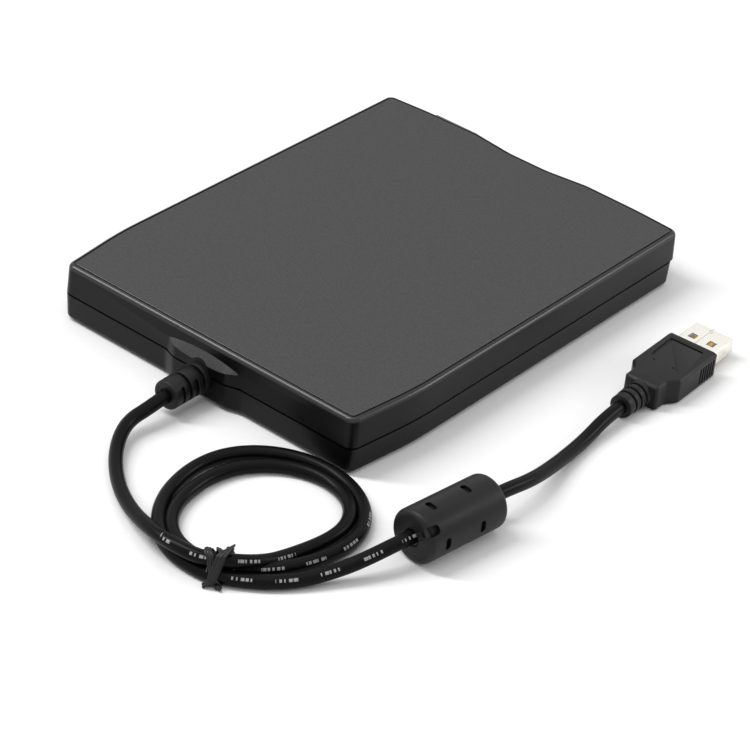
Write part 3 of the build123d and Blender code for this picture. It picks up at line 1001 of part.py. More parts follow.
def plug_grip():
    """Grip with shoulders, a sunk panel on top, ribs at the sides and a ringed relief at the back."""
    half, tail, length = GRIP_WIDTH / 2, GRIP_TAIL_WIDTH / 2, GRIP_LENGTH
    flank = [(0, -tail), (4.2, -tail), (7.4, -half), (length, -half)]
    plan = flank + [(x, -y) for x, y in reversed(flank)]
    body = prism(plan, -PLUG_THICK / 2, PLUG_THICK / 2, [0.8, 2.0, 1.5, 1.0, 1.0, 1.5, 2.0, 0.8])
    body = chamfer(body.edges().group_by(Axis.Z)[-1] + body.edges().group_by(Axis.Z)[0], 0.6)
    top = PLUG_THICK / 2
    floor = top - PANEL_GROOVE
    body -= block(PANEL_X0, PANEL_X1, PANEL_Y - 0.6, PANEL_Y, floor, top + 1)
    body -= block(PANEL_X1 - 0.4, PANEL_X1 + 0.3, 1.0 - PANEL_Y, PANEL_Y, floor, top + 1)
    for side in (-1, 1):
        for k in range(6):
            x = length - 2.0 - 1.25 * k
            body -= block(x - 0.35, x + 0.35, side * half - 0.3, side * half + 0.3, -top + 1.3, top - 1.3)
    profile = [(0, 0.4)]
    pitch = RELIEF_LENGTH / PLUG_RING_COUNT
    for k in range(PLUG_RING_COUNT):
        r = 3.65 - 0.14 * k
        start, stop = -k * pitch, -(k + 1) * pitch
        profile.append((r, 0.4 if k == 0 else start))
        if k < PLUG_RING_COUNT - 1:
            profile += [(r, stop + 0.7), (r - 0.8, stop + 0.7), (r - 0.8, stop)]
        else:
            profile += [(r, stop), (0, stop)]
    face = make_face(Polyline(*[(x, 0, t) for x, t in profile], close=True))
    body += Rot(0, 90, 0) * revolve(face, Axis.Z)
    body -= block(length - 5.0, length + 1, -USB_WIDTH / 2, USB_WIDTH / 2, -USB_HEIGHT / 2, USB_HEIGHT / 2)
    return plug_place() * body


def plug_shell():
    """Rolled steel sleeve with two windows above and below, open at the front."""
    w, h, sunk = USB_WIDTH, USB_HEIGHT, 5.0
    x0, x1 = GRIP_LENGTH - sunk, GRIP_LENGTH + USB_LENGTH
    body = block(x0, x1, -w / 2, w / 2, -h / 2, h / 2)
    body = fillet(body.edges().filter_by(Axis.X), 0.5)
    body -= block(x0 - 1, x1 + 1, -w / 2 + USB_WALL, w / 2 - USB_WALL, -h / 2 + USB_WALL, h / 2 - USB_WALL)
    for y in (-2.9, 2.9):
        body -= block(x1 - 7.7, x1 - 5.2, y - 1.15, y + 1.15, -h, h)
    return plug_place() * body


def plug_insulator():
    x0, x1 = GRIP_LENGTH - 5.0, GRIP_LENGTH + USB_LENGTH - 0.4
    low = -USB_HEIGHT / 2 + USB_WALL
    inner = USB_WIDTH / 2 - USB_WALL
    body = block(x0, x1, -inner, inner, low, low + 1.85)
    body += block(x0, GRIP_LENGTH - 1.0, -inner, inner, low, USB_HEIGHT / 2 - USB_WALL)
    for y in CONTACT_YS:
        body -= block(GRIP_LENGTH - 1.0, x1 - 0.8, y - 0.55, y + 0.55, low + 1.6, low + 3)
    return plug_place() * body


CONTACT_YS = (-3.5, -1.0, 1.0, 3.5)


def plug_contacts():
    low = -USB_HEIGHT / 2 + USB_WALL
    x1 = GRIP_LENGTH + USB_LENGTH - 1.2
    strips = [block(GRIP_LENGTH - 1.0, x1, y - 0.5, y + 0.5, low + 1.6, low + 1.78) for y in CONTACT_YS]
    return [plug_place() * s for s in strips]


PIECES = [
    upper_shell, lower_shell, rubber_feet, case_screws, drive_screws,
    drive_chassis, drive_top_cover, front_bezel, dust_flap, led_window, eject_button,
    slide_plate, eject_springs, disk_cradle, cradle_pins, shutter_lever, lever_pivot,
    spindle_bearing, spindle_rotor, hub_plate, spindle_shaft, drive_pin, stator_coils,
    head_carriage, lower_head, upper_head_arm, upper_head, arm_pin, guide_rod, lead_screw,
    stepper_motor, stepper_bracket,
    drive_board, board_chips, board_connector, sensor_switches, interface_board, board_standoffs,
    interface_chips, flat_cable,
    strain_relief, cord_lead, cord_coil, cord_tail, twist_tie, ferrite_cover, ferrite_core,
    plug_grip, plug_shell, plug_insulator, plug_contacts,
]


def solids_of(made):
    """All solids of what a piece's function returns, as one compound."""
    solids = []
    for shape in made if isinstance(made, list) else [made]:
        solids += shape.solids()
    return solids[0] if len(solids) == 1 else Compound(children=solids)


def main():
    os.makedirs("parts", exist_ok=True)
    for piece in PIECES:
        export_step(solids_of(piece()), os.path.join("parts", piece.__name__ + ".step"))


main()
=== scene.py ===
"""External floppy disk drive with its USB lead: finishes, the lead itself and the finely detailed pieces."""
import json
import math
from functools import partial

import bmesh
import bpy
import numpy as np
from bpy.props import FloatProperty, FloatVectorProperty, PointerProperty
from mathutils import Matrix, Vector


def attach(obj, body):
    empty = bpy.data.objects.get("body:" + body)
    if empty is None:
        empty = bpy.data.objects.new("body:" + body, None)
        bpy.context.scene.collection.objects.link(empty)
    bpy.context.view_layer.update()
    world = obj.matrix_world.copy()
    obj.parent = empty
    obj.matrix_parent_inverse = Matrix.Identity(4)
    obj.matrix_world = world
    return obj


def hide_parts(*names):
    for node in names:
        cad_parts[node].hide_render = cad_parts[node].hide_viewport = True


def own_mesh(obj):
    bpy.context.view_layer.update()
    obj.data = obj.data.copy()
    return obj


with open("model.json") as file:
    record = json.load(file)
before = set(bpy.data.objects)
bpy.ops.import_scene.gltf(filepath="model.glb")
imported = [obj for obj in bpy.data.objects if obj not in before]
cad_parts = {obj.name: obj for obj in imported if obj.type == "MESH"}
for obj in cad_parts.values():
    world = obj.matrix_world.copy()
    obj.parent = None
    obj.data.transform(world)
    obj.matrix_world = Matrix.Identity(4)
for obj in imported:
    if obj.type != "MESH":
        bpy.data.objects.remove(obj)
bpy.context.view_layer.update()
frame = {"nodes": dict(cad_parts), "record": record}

bl_info = {
    "name": "Floppy disk drive with USB lead",
    "version": (1, 0, 0),
    "blender": (4, 5, 0),
    "location": "3D View > Sidebar > Floppy drive",
    "description": "Finishes, lead and fine pieces of an external floppy disk drive",
    "category": "Object",
}

MM = 0.001

# sizes repeated from the part, in millimetres
CASE_TOP, CASE_UNDER, SEAM = 17.0, 0.6, 8.2
HALF_WIDTH, REAR_HALF_WIDTH = 52.5, 49.9
REAR_WALL, BUMP_FACE, FRONT_CORNER = 69.35, 70.7, -69.05
TAPER_Y = REAR_WALL - 22.7
WALL, FLOOR_WALL, ROOF_WALL, CORNER_R = 1.6, 1.5, 1.5, 3.0
LOWER_SETBACK = 1.0
EDGE_R, DRAFT = 1.4, 0.3                 # rounding of the top's edge, lean of the walls over their height
SEAM_DEPTH, SEAM_HALF = 0.9, 0.24        # groove between the shells
# slope over the lead's way out: its upper and lower edge in the middle, and their change towards its ends
FACET_TOP, FACET_TOP_FALL, FACET_LOW, FACET_LOW_RISE = 13.7, 1.45, 10.9, 1.3
WINDOW = (-48.6, 48.6, -74.05, -65.95, 2.6, 15.2)
CABLE_R = 1.85
ON_TABLE, ON_STRAND = 1.85, 5.55


# ==================== arrays
def rounded_ring(corners, radii, steps=14):
    """Closed outline through corners, each turned by an arc tangent to both its sides.

    An arc's centre lies r / sin(half angle) along the corner's bisector, and its points are the turn of the
    first contact radius into the second one. Returns the points and their outward unit vectors."""
    corner = np.array(corners, float)
    r = np.array(radii, float)[:, None]
    back = np.roll(corner, 1, 0) - corner
    onward = np.roll(corner, -1, 0) - corner
    back /= np.linalg.norm(back, axis=1, keepdims=True)
    onward /= np.linalg.norm(onward, axis=1, keepdims=True)
    half = np.arccos(np.sum(back * onward, 1, keepdims=True)) / 2
    bisector = back + onward
    bisector /= np.linalg.norm(bisector, axis=1, keepdims=True)
    centre = corner + bisector * r / np.sin(half)
    first = corner + back * r / np.tan(half) - centre
    last = corner + onward * r / np.tan(half) - centre
    turn = np.pi - 2 * half
    t = np.linspace(0, 1, steps)[None, :, None]
    turn_, first_, last_ = turn[:, None], first[:, None], last[:, None]
    arc = (np.sin((1 - t) * turn_) * first_ + np.sin(t * turn_) * last_) / np.sin(turn_)
    convex = np.sign(-back[:, 0] * onward[:, 1] + back[:, 1] * onward[:, 0])[:, None, None]
    outward = arc / r[:, None] * convex
    return (centre[:, None] + arc).reshape(-1, 2), outward.reshape(-1, 2)


def raised(ring, outward, profile, middle=(0.0, 0.0)):
    """Profile of (inset, height) pairs carried round a ring: point = ring - inset * outward, at that height.

    A row at the middle closes the first and the last height."""
    inset, height = np.array(profile, float).T
    plan = ring[None] - inset[:, None, None] * outward[None]
    rows = np.dstack([plan, np.broadcast_to(height[:, None], plan.shape[:2])])
    low, high = (np.broadcast_to(np.array([*middle, z]), (1, rows.shape[1], 3)) for z in height[[0, -1]])
    rows = np.concatenate([low, rows, high])
    return np.concatenate([rows, rows[:, :1]], 1)


def turned_profile(profile, steps=48):
    """Solid of revolution about Z: (radius, height) pairs as r * cos a, r * sin a, z over a full circle."""
    r, z = np.array(profile, float).T[:, :, None]
    angle = np.linspace(0, 2 * np.pi, steps + 1)
    return np.dstack([r * np.cos(angle), r * np.sin(angle), z + 0 * angle])


def tube_along(centre, radius, steps=20, closed=False, up=None):
    """Tube round a line of points: centre + radius * (cos a * side + sin a * up), where side is square to the
    line and to the up vector. The ends are closed by a row at the line's own end points."""
    centre = np.array(centre, float)
    along = np.gradient(centre, axis=0)
    if closed:
        along = np.roll(centre, -1, 0) - np.roll(centre, 1, 0)
    along /= np.linalg.norm(along, axis=1, keepdims=True)
    up = np.array([0.0, 0.0, 1.0]) if up is None else np.array(up, float)
    side = np.cross(along, up)
    side /= np.linalg.norm(side, axis=1, keepdims=True)
    top = np.cross(side, along)
    angle = np.linspace(0, 2 * np.pi, steps + 1)[None, :, None]
    radius = np.broadcast_to(np.array(radius, float), (len(centre),))[:, None, None]
    rows = centre[:, None] + radius * (np.cos(angle) * side[:, None] + np.sin(angle) * top[:, None])
    if closed:
        return np.concatenate([rows, rows[:1]])
    ends = [np.broadcast_to(p, (1, rows.shape[1], 3)) for p in (centre[0], centre[-1])]
    return np.concatenate([ends[0], rows, ends[1]])


def on_axis(rows, at, x_axis, z_axis=(0, 0, 1)):
    """Rows moved into a frame whose x runs along x_axis; z_axis is made square to it."""
    x = np.array(x_axis, float)
    x /= np.linalg.norm(x)
    y = np.cross(np.array(z_axis, float), x)
    y /= np.linalg.norm(y)
    return rows @ np.array([x, y, np.cross(x, y)]) + np.array(at, float)


# ==================== meshes
def surface(name, *sheets, uv=None):
    """Mesh of one or more grids of points in millimetres; coinciding points are merged and faces point out."""
    mesh = bpy.data.meshes.new(name)
    points, faces, first = [], [], 0
    for grid in sheets:
        rows, columns = grid.shape[:2]
        index = np.arange(rows * columns).reshape(rows, columns) + first
        corners = [index[:-1, :-1], index[:-1, 1:], index[1:, 1:], index[1:, :-1]]
        faces.append(np.stack(corners, -1).reshape(-1, 4))
        points.append(grid.reshape(-1, 3))
        first += rows * columns
    faces = np.concatenate(faces)
    mesh.from_pydata(np.concatenate(points) * MM, [], faces.tolist())
    if uv is not None:
        layer = mesh.uv_layers.new(name="lay")
        layer.data.foreach_set("uv", uv.reshape(-1, 2)[faces.ravel()].astype(np.float32).ravel())
    work = bmesh.new()
    work.from_mesh(mesh)
    bmesh.ops.remove_doubles(work, verts=work.verts, dist=1e-7)
    bmesh.ops.dissolve_degenerate(work, edges=work.edges, dist=1e-8)
    bmesh.ops.recalc_face_normals(work, faces=work.faces)
    work.to_mesh(mesh)
    work.free()
    return mesh


def smooth(mesh, limit=32.0):
    """Smooth shading that stays crisp at edges sharper than the limit, in degrees."""
    mesh.shade_smooth()
    mesh.set_sharp_from_angle(angle=math.radians(limit))
    return mesh


def linked(name, data):
    """A new object with the given data, in the scene."""
    made = bpy.data.objects.new(name, data)
    bpy.context.scene.collection.objects.link(made)
    return made


def with_modifiers(name, mesh, *modifiers):
    """The mesh as the given modifiers leave it; each is (kind, settings)."""
    carrier = linked(name, mesh)
    for kind, settings in modifiers:
        modifier = carrier.modifiers.new(kind, kind)
        for key, value in settings.items():
            setattr(modifier, key, value)
    bpy.context.view_layer.update()
    made = bpy.data.meshes.new_from_object(carrier.evaluated_get(bpy.context.evaluated_depsgraph_get()))
    made.name = name
    bpy.data.objects.remove(carrier)
    return made


def combined(name, mesh, *others):
    """Boolean of a mesh with others, each (operation, mesh)."""
    tools = [linked("tool", other) for _, other in others]
    made = with_modifiers(name, mesh, *[
        ("BOOLEAN", {"operation": operation, "solver": "EXACT", "object": tool})
        for (operation, _), tool in zip(others, tools)])
    for tool in tools:
        bpy.data.objects.remove(tool)
    return made


def softened(name, node, width):
    """A CAD node's mesh with its doubles merged and its edges rounded by the given width."""
    limit = 34.0
    mesh = bpy.data.meshes.new(name)
    work = bmesh.new()
    work.from_mesh(frame["nodes"][node].data)
    bmesh.ops.remove_doubles(work, verts=work.verts, dist=2e-7)
    bmesh.ops.dissolve_limit(work, angle_limit=math.radians(0.5), verts=work.verts, edges=work.edges)
    work.to_mesh(mesh)
    work.free()
    bevel = {"width": width * MM, "segments": 2, "limit_method": "ANGLE", "angle_limit": math.radians(limit),
             "use_clamp_overlap": True, "harden_normals": False}
    return smooth(with_modifiers(name, mesh, ("BEVEL", bevel)), limit)


def add_piece(name, mesh, slot, *replaced, body="case", finish=None):
    """Links a finished mesh as a piece that rides on a body and stands for the CAD nodes it replaces.

    Its finish is the slot's own, unless another one is named."""
    mesh.name = name
    mesh.materials.clear()
    mesh.materials.append(MATERIALS[finish or slot])
    piece = linked(name, mesh)
    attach(piece, body)
    if replaced:
        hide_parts(*replaced)
    return piece


def box_mesh(x0, x1, y0, y1, z0, z1):
    """Box between two corners, as a square ring raised from z0 to z1."""
    ring = np.array([(x0, y0), (x1, y0), (x1, y1), (x0, y1)], float)
    middle = ((x0 + x1) / 2, (y0 + y1) / 2)
    return surface("tool", raised(ring, np.zeros_like(ring), [(0, z0), (0, z1)], middle))


def post_mesh(x, y, r, z0, z1, steps=48):
    """Upright cylinder."""
    rows = turned_profile([(0, z0), (r, z0), (r, z1), (0, z1)], steps)
    return surface("tool", rows + np.array([x, y, 0.0]))


def rod_mesh(x, z, r, y0, y1):
    """Cylinder along Y."""
    rows = turned_profile([(0, y0), (r, y0), (r, y1), (0, y1)])
    return surface("tool", rows[..., [0, 2, 1]] + np.array([x, 0.0, z]))


# ==================== materials
def linear(code):
    """Linear RGBA of an sRGB hex colour such as "2b2c2d"."""
    value = np.array([int(code[i:i + 2], 16) for i in (0, 2, 4)]) / 255
    curve = np.where(value <= 0.04045, value / 12.92, ((value + 0.055) / 1.055) ** 2.4)
    return (*curve.tolist(), 1.0)


def set_inputs(node, inputs):
    """Sets a node's sockets, named or in order: to a value, or linked to an output or a node's first output."""
    for key, value in inputs.items() if isinstance(inputs, dict) else enumerate(inputs):
        if isinstance(value, bpy.types.Node):
            value = value.outputs[0]
        if isinstance(value, bpy.types.NodeSocket):
            node.id_data.links.new(value, node.inputs[key])
        else:
            node.inputs[key].default_value = value


def add_node(tree, kind, inputs=(), **settings):
    """Adds a shader node of a kind, with its settings and its inputs."""
    made = tree.nodes.new("ShaderNode" + kind)
    for key, value in settings.items():
        setattr(made, key, value)
    set_inputs(made, inputs)
    return made


def start_material(name):
    """A material with a Principled shader wired to its output: returns it, its shader, the coordinates and the
    function that adds nodes to it."""
    material = bpy.data.materials.new(name)
    material.use_nodes = True
    material.node_tree.nodes.clear()
    add = partial(add_node, material.node_tree)
    shader = add("BsdfPrincipled")
    add("OutputMaterial", {"Surface": shader})
    return material, shader, add("TexCoord").outputs["Object"], add


def textured(name, colour, deeper, roughness, spread, grain, depth, along=None, **values):
    """Two tones, with a fine grain in bump and colour and broad faint blotches in roughness.

    grain and depth are the grain's size and height in millimetres, spread is the swing of roughness. With an
    axis (0, 1, 2) in along it is a metal, and its grain is drawn out into scratches that follow the axis."""
    material, shader, where, add = start_material(name)
    metal = along is not None
    if metal:
        scale = [1 / (grain * MM)] * 3
        scale[along] /= 40
        laid = add("Mapping", {"Vector": where, "Scale": scale})
        fine = add("TexNoise", {"Vector": laid, "Scale": 1.0, "Detail": 3.0})
        broad = add("TexNoise", {"Vector": where, "Scale": 1 / (6 * MM), "Detail": 4.0})
    else:
        fine = add("TexNoise", {"Vector": where, "Scale": 1 / (grain * MM), "Detail": 2.0})
        broad = add("TexNoise", {"Vector": where, "Scale": 1 / (14 * MM), "Detail": 3.0})
    both = add("Math", (fine, broad), operation="MULTIPLY")
    tint = add("Mix", {"Factor": both, 6: linear(deeper), 7: linear(colour)}, data_type="RGBA")
    blotches, low, high = (both, 0.1, 0.4) if metal else (broad, 0.3, 0.7)
    swing = add("MapRange", (blotches, low, high, roughness - spread, roughness + spread))
    bump = add("Bump", {"Height": fine, "Strength": 1.0, "Distance": depth * MM})
    set_inputs(shader, {"Base Color": tint.outputs[2], "Roughness": swing, "Normal": bump,
                        "Metallic": float(metal), **values})
    return material


def case_abs():
    """Injection-moulded black ABS: the flat top and the slope over the lead are spark-textured and matte, and
    their far lighter grey is partly the texture's own and partly painted light from above; the walls come
    from a polished mould, and the rounded band round the top is the glossiest."""
    settings = bpy.context.scene.drive_settings
    material, shader, where, add = start_material("case_abs")
    place = add("SeparateXYZ", (where,)).outputs
    facing = add("NewGeometry").outputs["Normal"]
    upward = add("SeparateXYZ", (facing,)).outputs["Z"]
    flat = add("MapRange", (upward, 0.97, 0.995))
    high = add("Math", (place["Z"], (CASE_TOP - 0.1) * MM), operation="GREATER_THAN")
    top = add("Math", (flat, high), operation="MULTIPLY")
    sloped = add("MapRange", (upward, 0.15, 0.25))
    behind = add("Math", (place["Y"], (REAR_WALL - 0.28) * MM), operation="GREATER_THAN")
    facet = add("Math", (sloped, behind), operation="MULTIPLY")
    top = add("Math", (top, facet), operation="MAXIMUM")
    # spark texture drawn at 0.45 mm, coarser than the real 0.1 mm, so that it shows at this size
    spark = add("TexNoise", {"Vector": where, "Scale": 1 / (0.45 * MM), "Detail": 4.0, "Roughness": 0.65})
    broad = add("TexNoise", {"Vector": where, "Scale": 1 / (30 * MM), "Detail": 3.0})
    speck = add("MapRange", (spark, 0.3, 0.7))
    # painted light: the top and the slope are far greyer than the walls of the same black ABS, partly the spark
    # texture's own grey and partly the light from above painted in
    top_tint_and_light = add("Mix", {"Factor": speck, 6: (*settings.top_ground_and_light, 1),
                           7: (*settings.top_grain_and_light, 1)}, data_type="RGBA")
    wall_tint = add("Mix", {"Factor": broad, 6: (*settings.wall_colour_low, 1),
                            7: (*settings.wall_colour, 1)}, data_type="RGBA")
    tint = add("Mix", {"Factor": top, 6: wall_tint.outputs[2], 7: top_tint_and_light.outputs[2]}, data_type="RGBA")
    wall_rough = add("MapRange", (broad, 0.3, 0.7, 0.27, 0.33))
    rough = add("Mix", {"Factor": top, 2: wall_rough, 3: 0.62}, data_type="FLOAT")
    rounded = add("MapRange", (place["Z"], (CASE_TOP - EDGE_R) * MM, (CASE_TOP - 0.75 * EDGE_R) * MM))
    glossy = add("Math", (1.0, top), operation="SUBTRACT")
    band = add("Math", (rounded, glossy), operation="MULTIPLY")
    gloss = add("MapRange", (band, 0.0, 1.0, 0.12, 0.42))
    relief = add("Mix", {"Factor": top, 2: 0.25, 3: 1.0}, data_type="FLOAT")
    bump = add("Bump", {"Height": spark, "Strength": relief, "Distance": 0.02 * MM})
    set_inputs(shader, {"Base Color": tint.outputs[2], "Roughness": rough, "Normal": bump,
                        "Specular IOR Level": gloss, "IOR": 1.53})
    return material


def cable_pvc():
    """Extruded black PVC jacket: satin, faint lengthwise drag marks, and a run of pale ink dashes."""
    material, shader, _, add = start_material("cable_pvc")
    lay = add("UVMap", uv_map="lay")
    run = add("SeparateXYZ", (lay,))
    drag = add("Mapping", {"Vector": lay, "Scale": (90.0, 60.0, 1.0)})
    marks = add("TexNoise", {"Vector": drag, "Scale": 1.0, "Detail": 3.0})
    tint = add("Mix", {"Factor": marks, 6: linear("070707"), 7: linear("0d0d0d")}, data_type="RGBA")
    # ink: dashes of uneven length on a 1.1 mm pace, in groups of a few, worn thin here and there
    place = add("Math", (run, 1 / (1.1 * MM)), operation="MULTIPLY")
    cell = add("Math", (place,), operation="FLOOR")
    chance = add("TexWhiteNoise", {"W": cell}, noise_dimensions="1D").outputs["Value"]
    length = add("MapRange", (chance, 0.1, 1.0, 0.3, 0.92))
    within = add("Math", (place,), operation="FRACT")
    dash = add("Math", (within, length), operation="LESS_THAN")
    word = add("Math", (place, 1 / 9.7), operation="MULTIPLY")
    word = add("Math", (word,), operation="FRACT")
    in_word = add("Math", (word, 0.5), operation="LESS_THAN")
    band = run.outputs["Y"]
    for kind, *values in (("SUBTRACT", bpy.context.scene.drive_settings.print_turn), ("WRAP", 0.0, 1.0),
                          ("SUBTRACT", 0.5), ("ABSOLUTE",), ("GREATER_THAN", 0.5 - 0.034)):
        band = add("Math", (band, *values), operation=kind)
    ink = add("MapRange", (marks, 0.3, 0.5, 0.45, 0.95))
    for mask in (dash, in_word, band):
        ink = add("Math", (ink, mask), operation="MULTIPLY")
    inked = add("Mix", {"Factor": ink, 6: tint.outputs[2], 7: linear("a4a4a2")}, data_type="RGBA")
    rough = add("MapRange", (marks, 0.3, 0.7, 0.26, 0.36))
    bump = add("Bump", {"Height": marks, "Strength": 1.0, "Distance": 0.004 * MM})
    set_inputs(shader, {"Base Color": inked.outputs[2], "Roughness": rough, "Normal": bump, "IOR": 1.53,
                        "Specular IOR Level": 0.08})
    return material


def board_laminate(name, colour):
    """Glass-epoxy laminate under solder mask: woven glass shows faintly, copper tracks lie under the mask."""
    material, shader, where, add = start_material(name)
    weave = add("TexWave", {"Vector": where, "Scale": 1 / (5 * MM), "Distortion": 0.0})
    tracks = add("TexBrick", {
        "Vector": where, "Scale": 1 / (1.6 * MM), "Color1": linear(colour), "Color2": linear(colour),
        "Mortar": linear("2f6a3c"), "Mortar Size": 0.09, "Bias": 0.0})
    tint = add("Mix", {"Factor": 0.82, 6: linear("16381f"), 7: tracks}, data_type="RGBA")
    bump = add("Bump", {"Height": weave.outputs["Fac"], "Strength": 0.3, "Distance": 0.01 * MM})
    set_inputs(shader, {"Base Color": tint.outputs[2], "Normal": bump, "IOR": 1.55, "Roughness": 0.32})
    return material


def make_materials():
    """All finishes by the name of their slot in the record."""
    return {
        "case_plastic": case_abs(),
        "bezel_plastic": textured("bezel_abs", "1b1b1c", "141415", 0.42, 0.05, 0.4, 0.012, IOR=1.53),
        "led_lens": textured("light_pipe_acrylic", "a9c48f", "8fb070", 0.12, 0.03, 2.0, 0.002,
                             **{"IOR": 1.49, "Transmission Weight": 0.2}),
        "foot_rubber": textured("foot_rubber", "1c1c1c", "121212", 0.72, 0.08, 0.3, 0.03, IOR=1.52),
        "screw_steel": textured("blackened_screw_steel", "5a5a5c", "38383a", 0.38, 0.08, 0.15, 0.004, 2),
        "sheet_steel": textured("zinc_plated_sheet", "c3c6c8", "9fa3a6", 0.36, 0.08, 0.25, 0.004, 1),
        "turned_steel": textured("turned_steel", "c9cacb", "a5a6a8", 0.22, 0.06, 0.12, 0.003, 0),
        "spring_steel": textured("spring_wire_steel", "a8a9ab", "7f8082", 0.28, 0.06, 0.1, 0.002, 1),
        "rotor_steel": textured("pressed_rotor_steel", "b4b6b8", "8e9092", 0.34, 0.07, 0.2, 0.004, 0),
        "hub_aluminium": textured("hub_aluminium", "d0d1d2", "b2b3b5", 0.3, 0.06, 0.15, 0.003, 0),
        "bearing_brass": textured("bearing_brass", "c9a45a", "a07c3a", 0.3, 0.06, 0.15, 0.003, 2),
        "coil_copper": textured("enamelled_copper_wire", "b5643a", "7e3f22", 0.3, 0.06, 0.12, 0.01, 2),
        "carriage_plastic": textured("glass_filled_carriage", "2a2622", "1b1816", 0.5, 0.06, 0.3, 0.02,
                                     IOR=1.57),
        "head_ceramic": textured("head_ceramic", "8f8c88", "716f6c", 0.2, 0.04, 0.4, 0.002, IOR=1.9),
        "board_laminate": board_laminate("green_laminate", "1f5a30"),
        "chip_plastic": textured("chip_epoxy", "1d1d1f", "141416", 0.5, 0.05, 0.15, 0.008, IOR=1.55),
        "flat_cable_film": textured("flat_cable_film", "e5e4de", "cfcec8", 0.4, 0.05, 0.8, 0.01, IOR=1.6),
        "cable_jacket": cable_pvc(),
        "moulded_pvc": textured("overmoulded_pvc", "1c1c1c", "101010", 0.44, 0.05, 0.35, 0.015,
                                **{"IOR": 1.53, "Specular IOR Level": 0.2}),
        # partly ferrite's own dark colour and partly painted shade: the core is near-black so that the pin
        # slots, where it shows, read as shaded
        "ferrite": textured("sintered_ferrite", "141313", "0a0909", 0.6, 0.06, 0.3, 0.02,
                            **{"IOR": 2.0, "Specular IOR Level": 0.08}),
        "tie_plastic": textured("tie_polyethylene", "1c1c1c", "101010", 0.36, 0.06, 0.5, 0.02,
                                **{"IOR": 1.51, "Specular IOR Level": 0.3}),
        "plug_steel": textured("nickel_plated_sleeve", "fdfbf4", "efece2", 0.28, 0.06, 0.15, 0.002, 1),
        "plug_insulator_plastic": textured("insulator_pbt", "eceaf2", "d8d6de", 0.4, 0.05, 0.4, 0.008,
                                           IOR=1.55),
        "contact_gold": textured("contact_gold", "e2b95a", "c1953c", 0.22, 0.05, 0.1, 0.002, 1),
    }


# ==================== settings
def tone(name, description, colour):
    """A colour setting with an sRGB hex value as its default."""
    return FloatVectorProperty(name=name, description=description, subtype="COLOR", default=linear(colour)[:3])


class DriveSettings(bpy.types.PropertyGroup):
    """Colours and sizes that a user would change."""
    # the top's two greys hold painted light from above besides the spark texture's own grey
    top_grain_and_light: tone("Top", "Pale grain of the matte top", "4c4c4c")
    top_ground_and_light: tone("Top, between the grain", "Darker ground of the top", "3b3b3b")
    wall_colour: tone("Walls", "Lighter blotches of the walls", "0e0e0e")
    wall_colour_low: tone("Walls, darker", "Darker blotches of the walls", "090909")
    print_turn: FloatProperty(name="Print side", description="Side of the jacket that carries the ink dashes",
                              default=0.0, min=0.0, max=1.0, subtype="FACTOR")
    lead_radius: FloatProperty(name="Lead radius", description="Half the thickness of the lead",
                               default=CABLE_R * MM, min=0.001, max=0.004, unit="LENGTH")


MATERIALS = {}


# ==================== camera and light
CAMERA_AT = (-397.5, 535.2, 418.6)
CAMERA_AZIMUTH, CAMERA_RISE, CAMERA_ROLL = 216.344, 33.654, 6.071
CAMERA_LENS, CAMERA_SENSOR = 138.09, 36.0


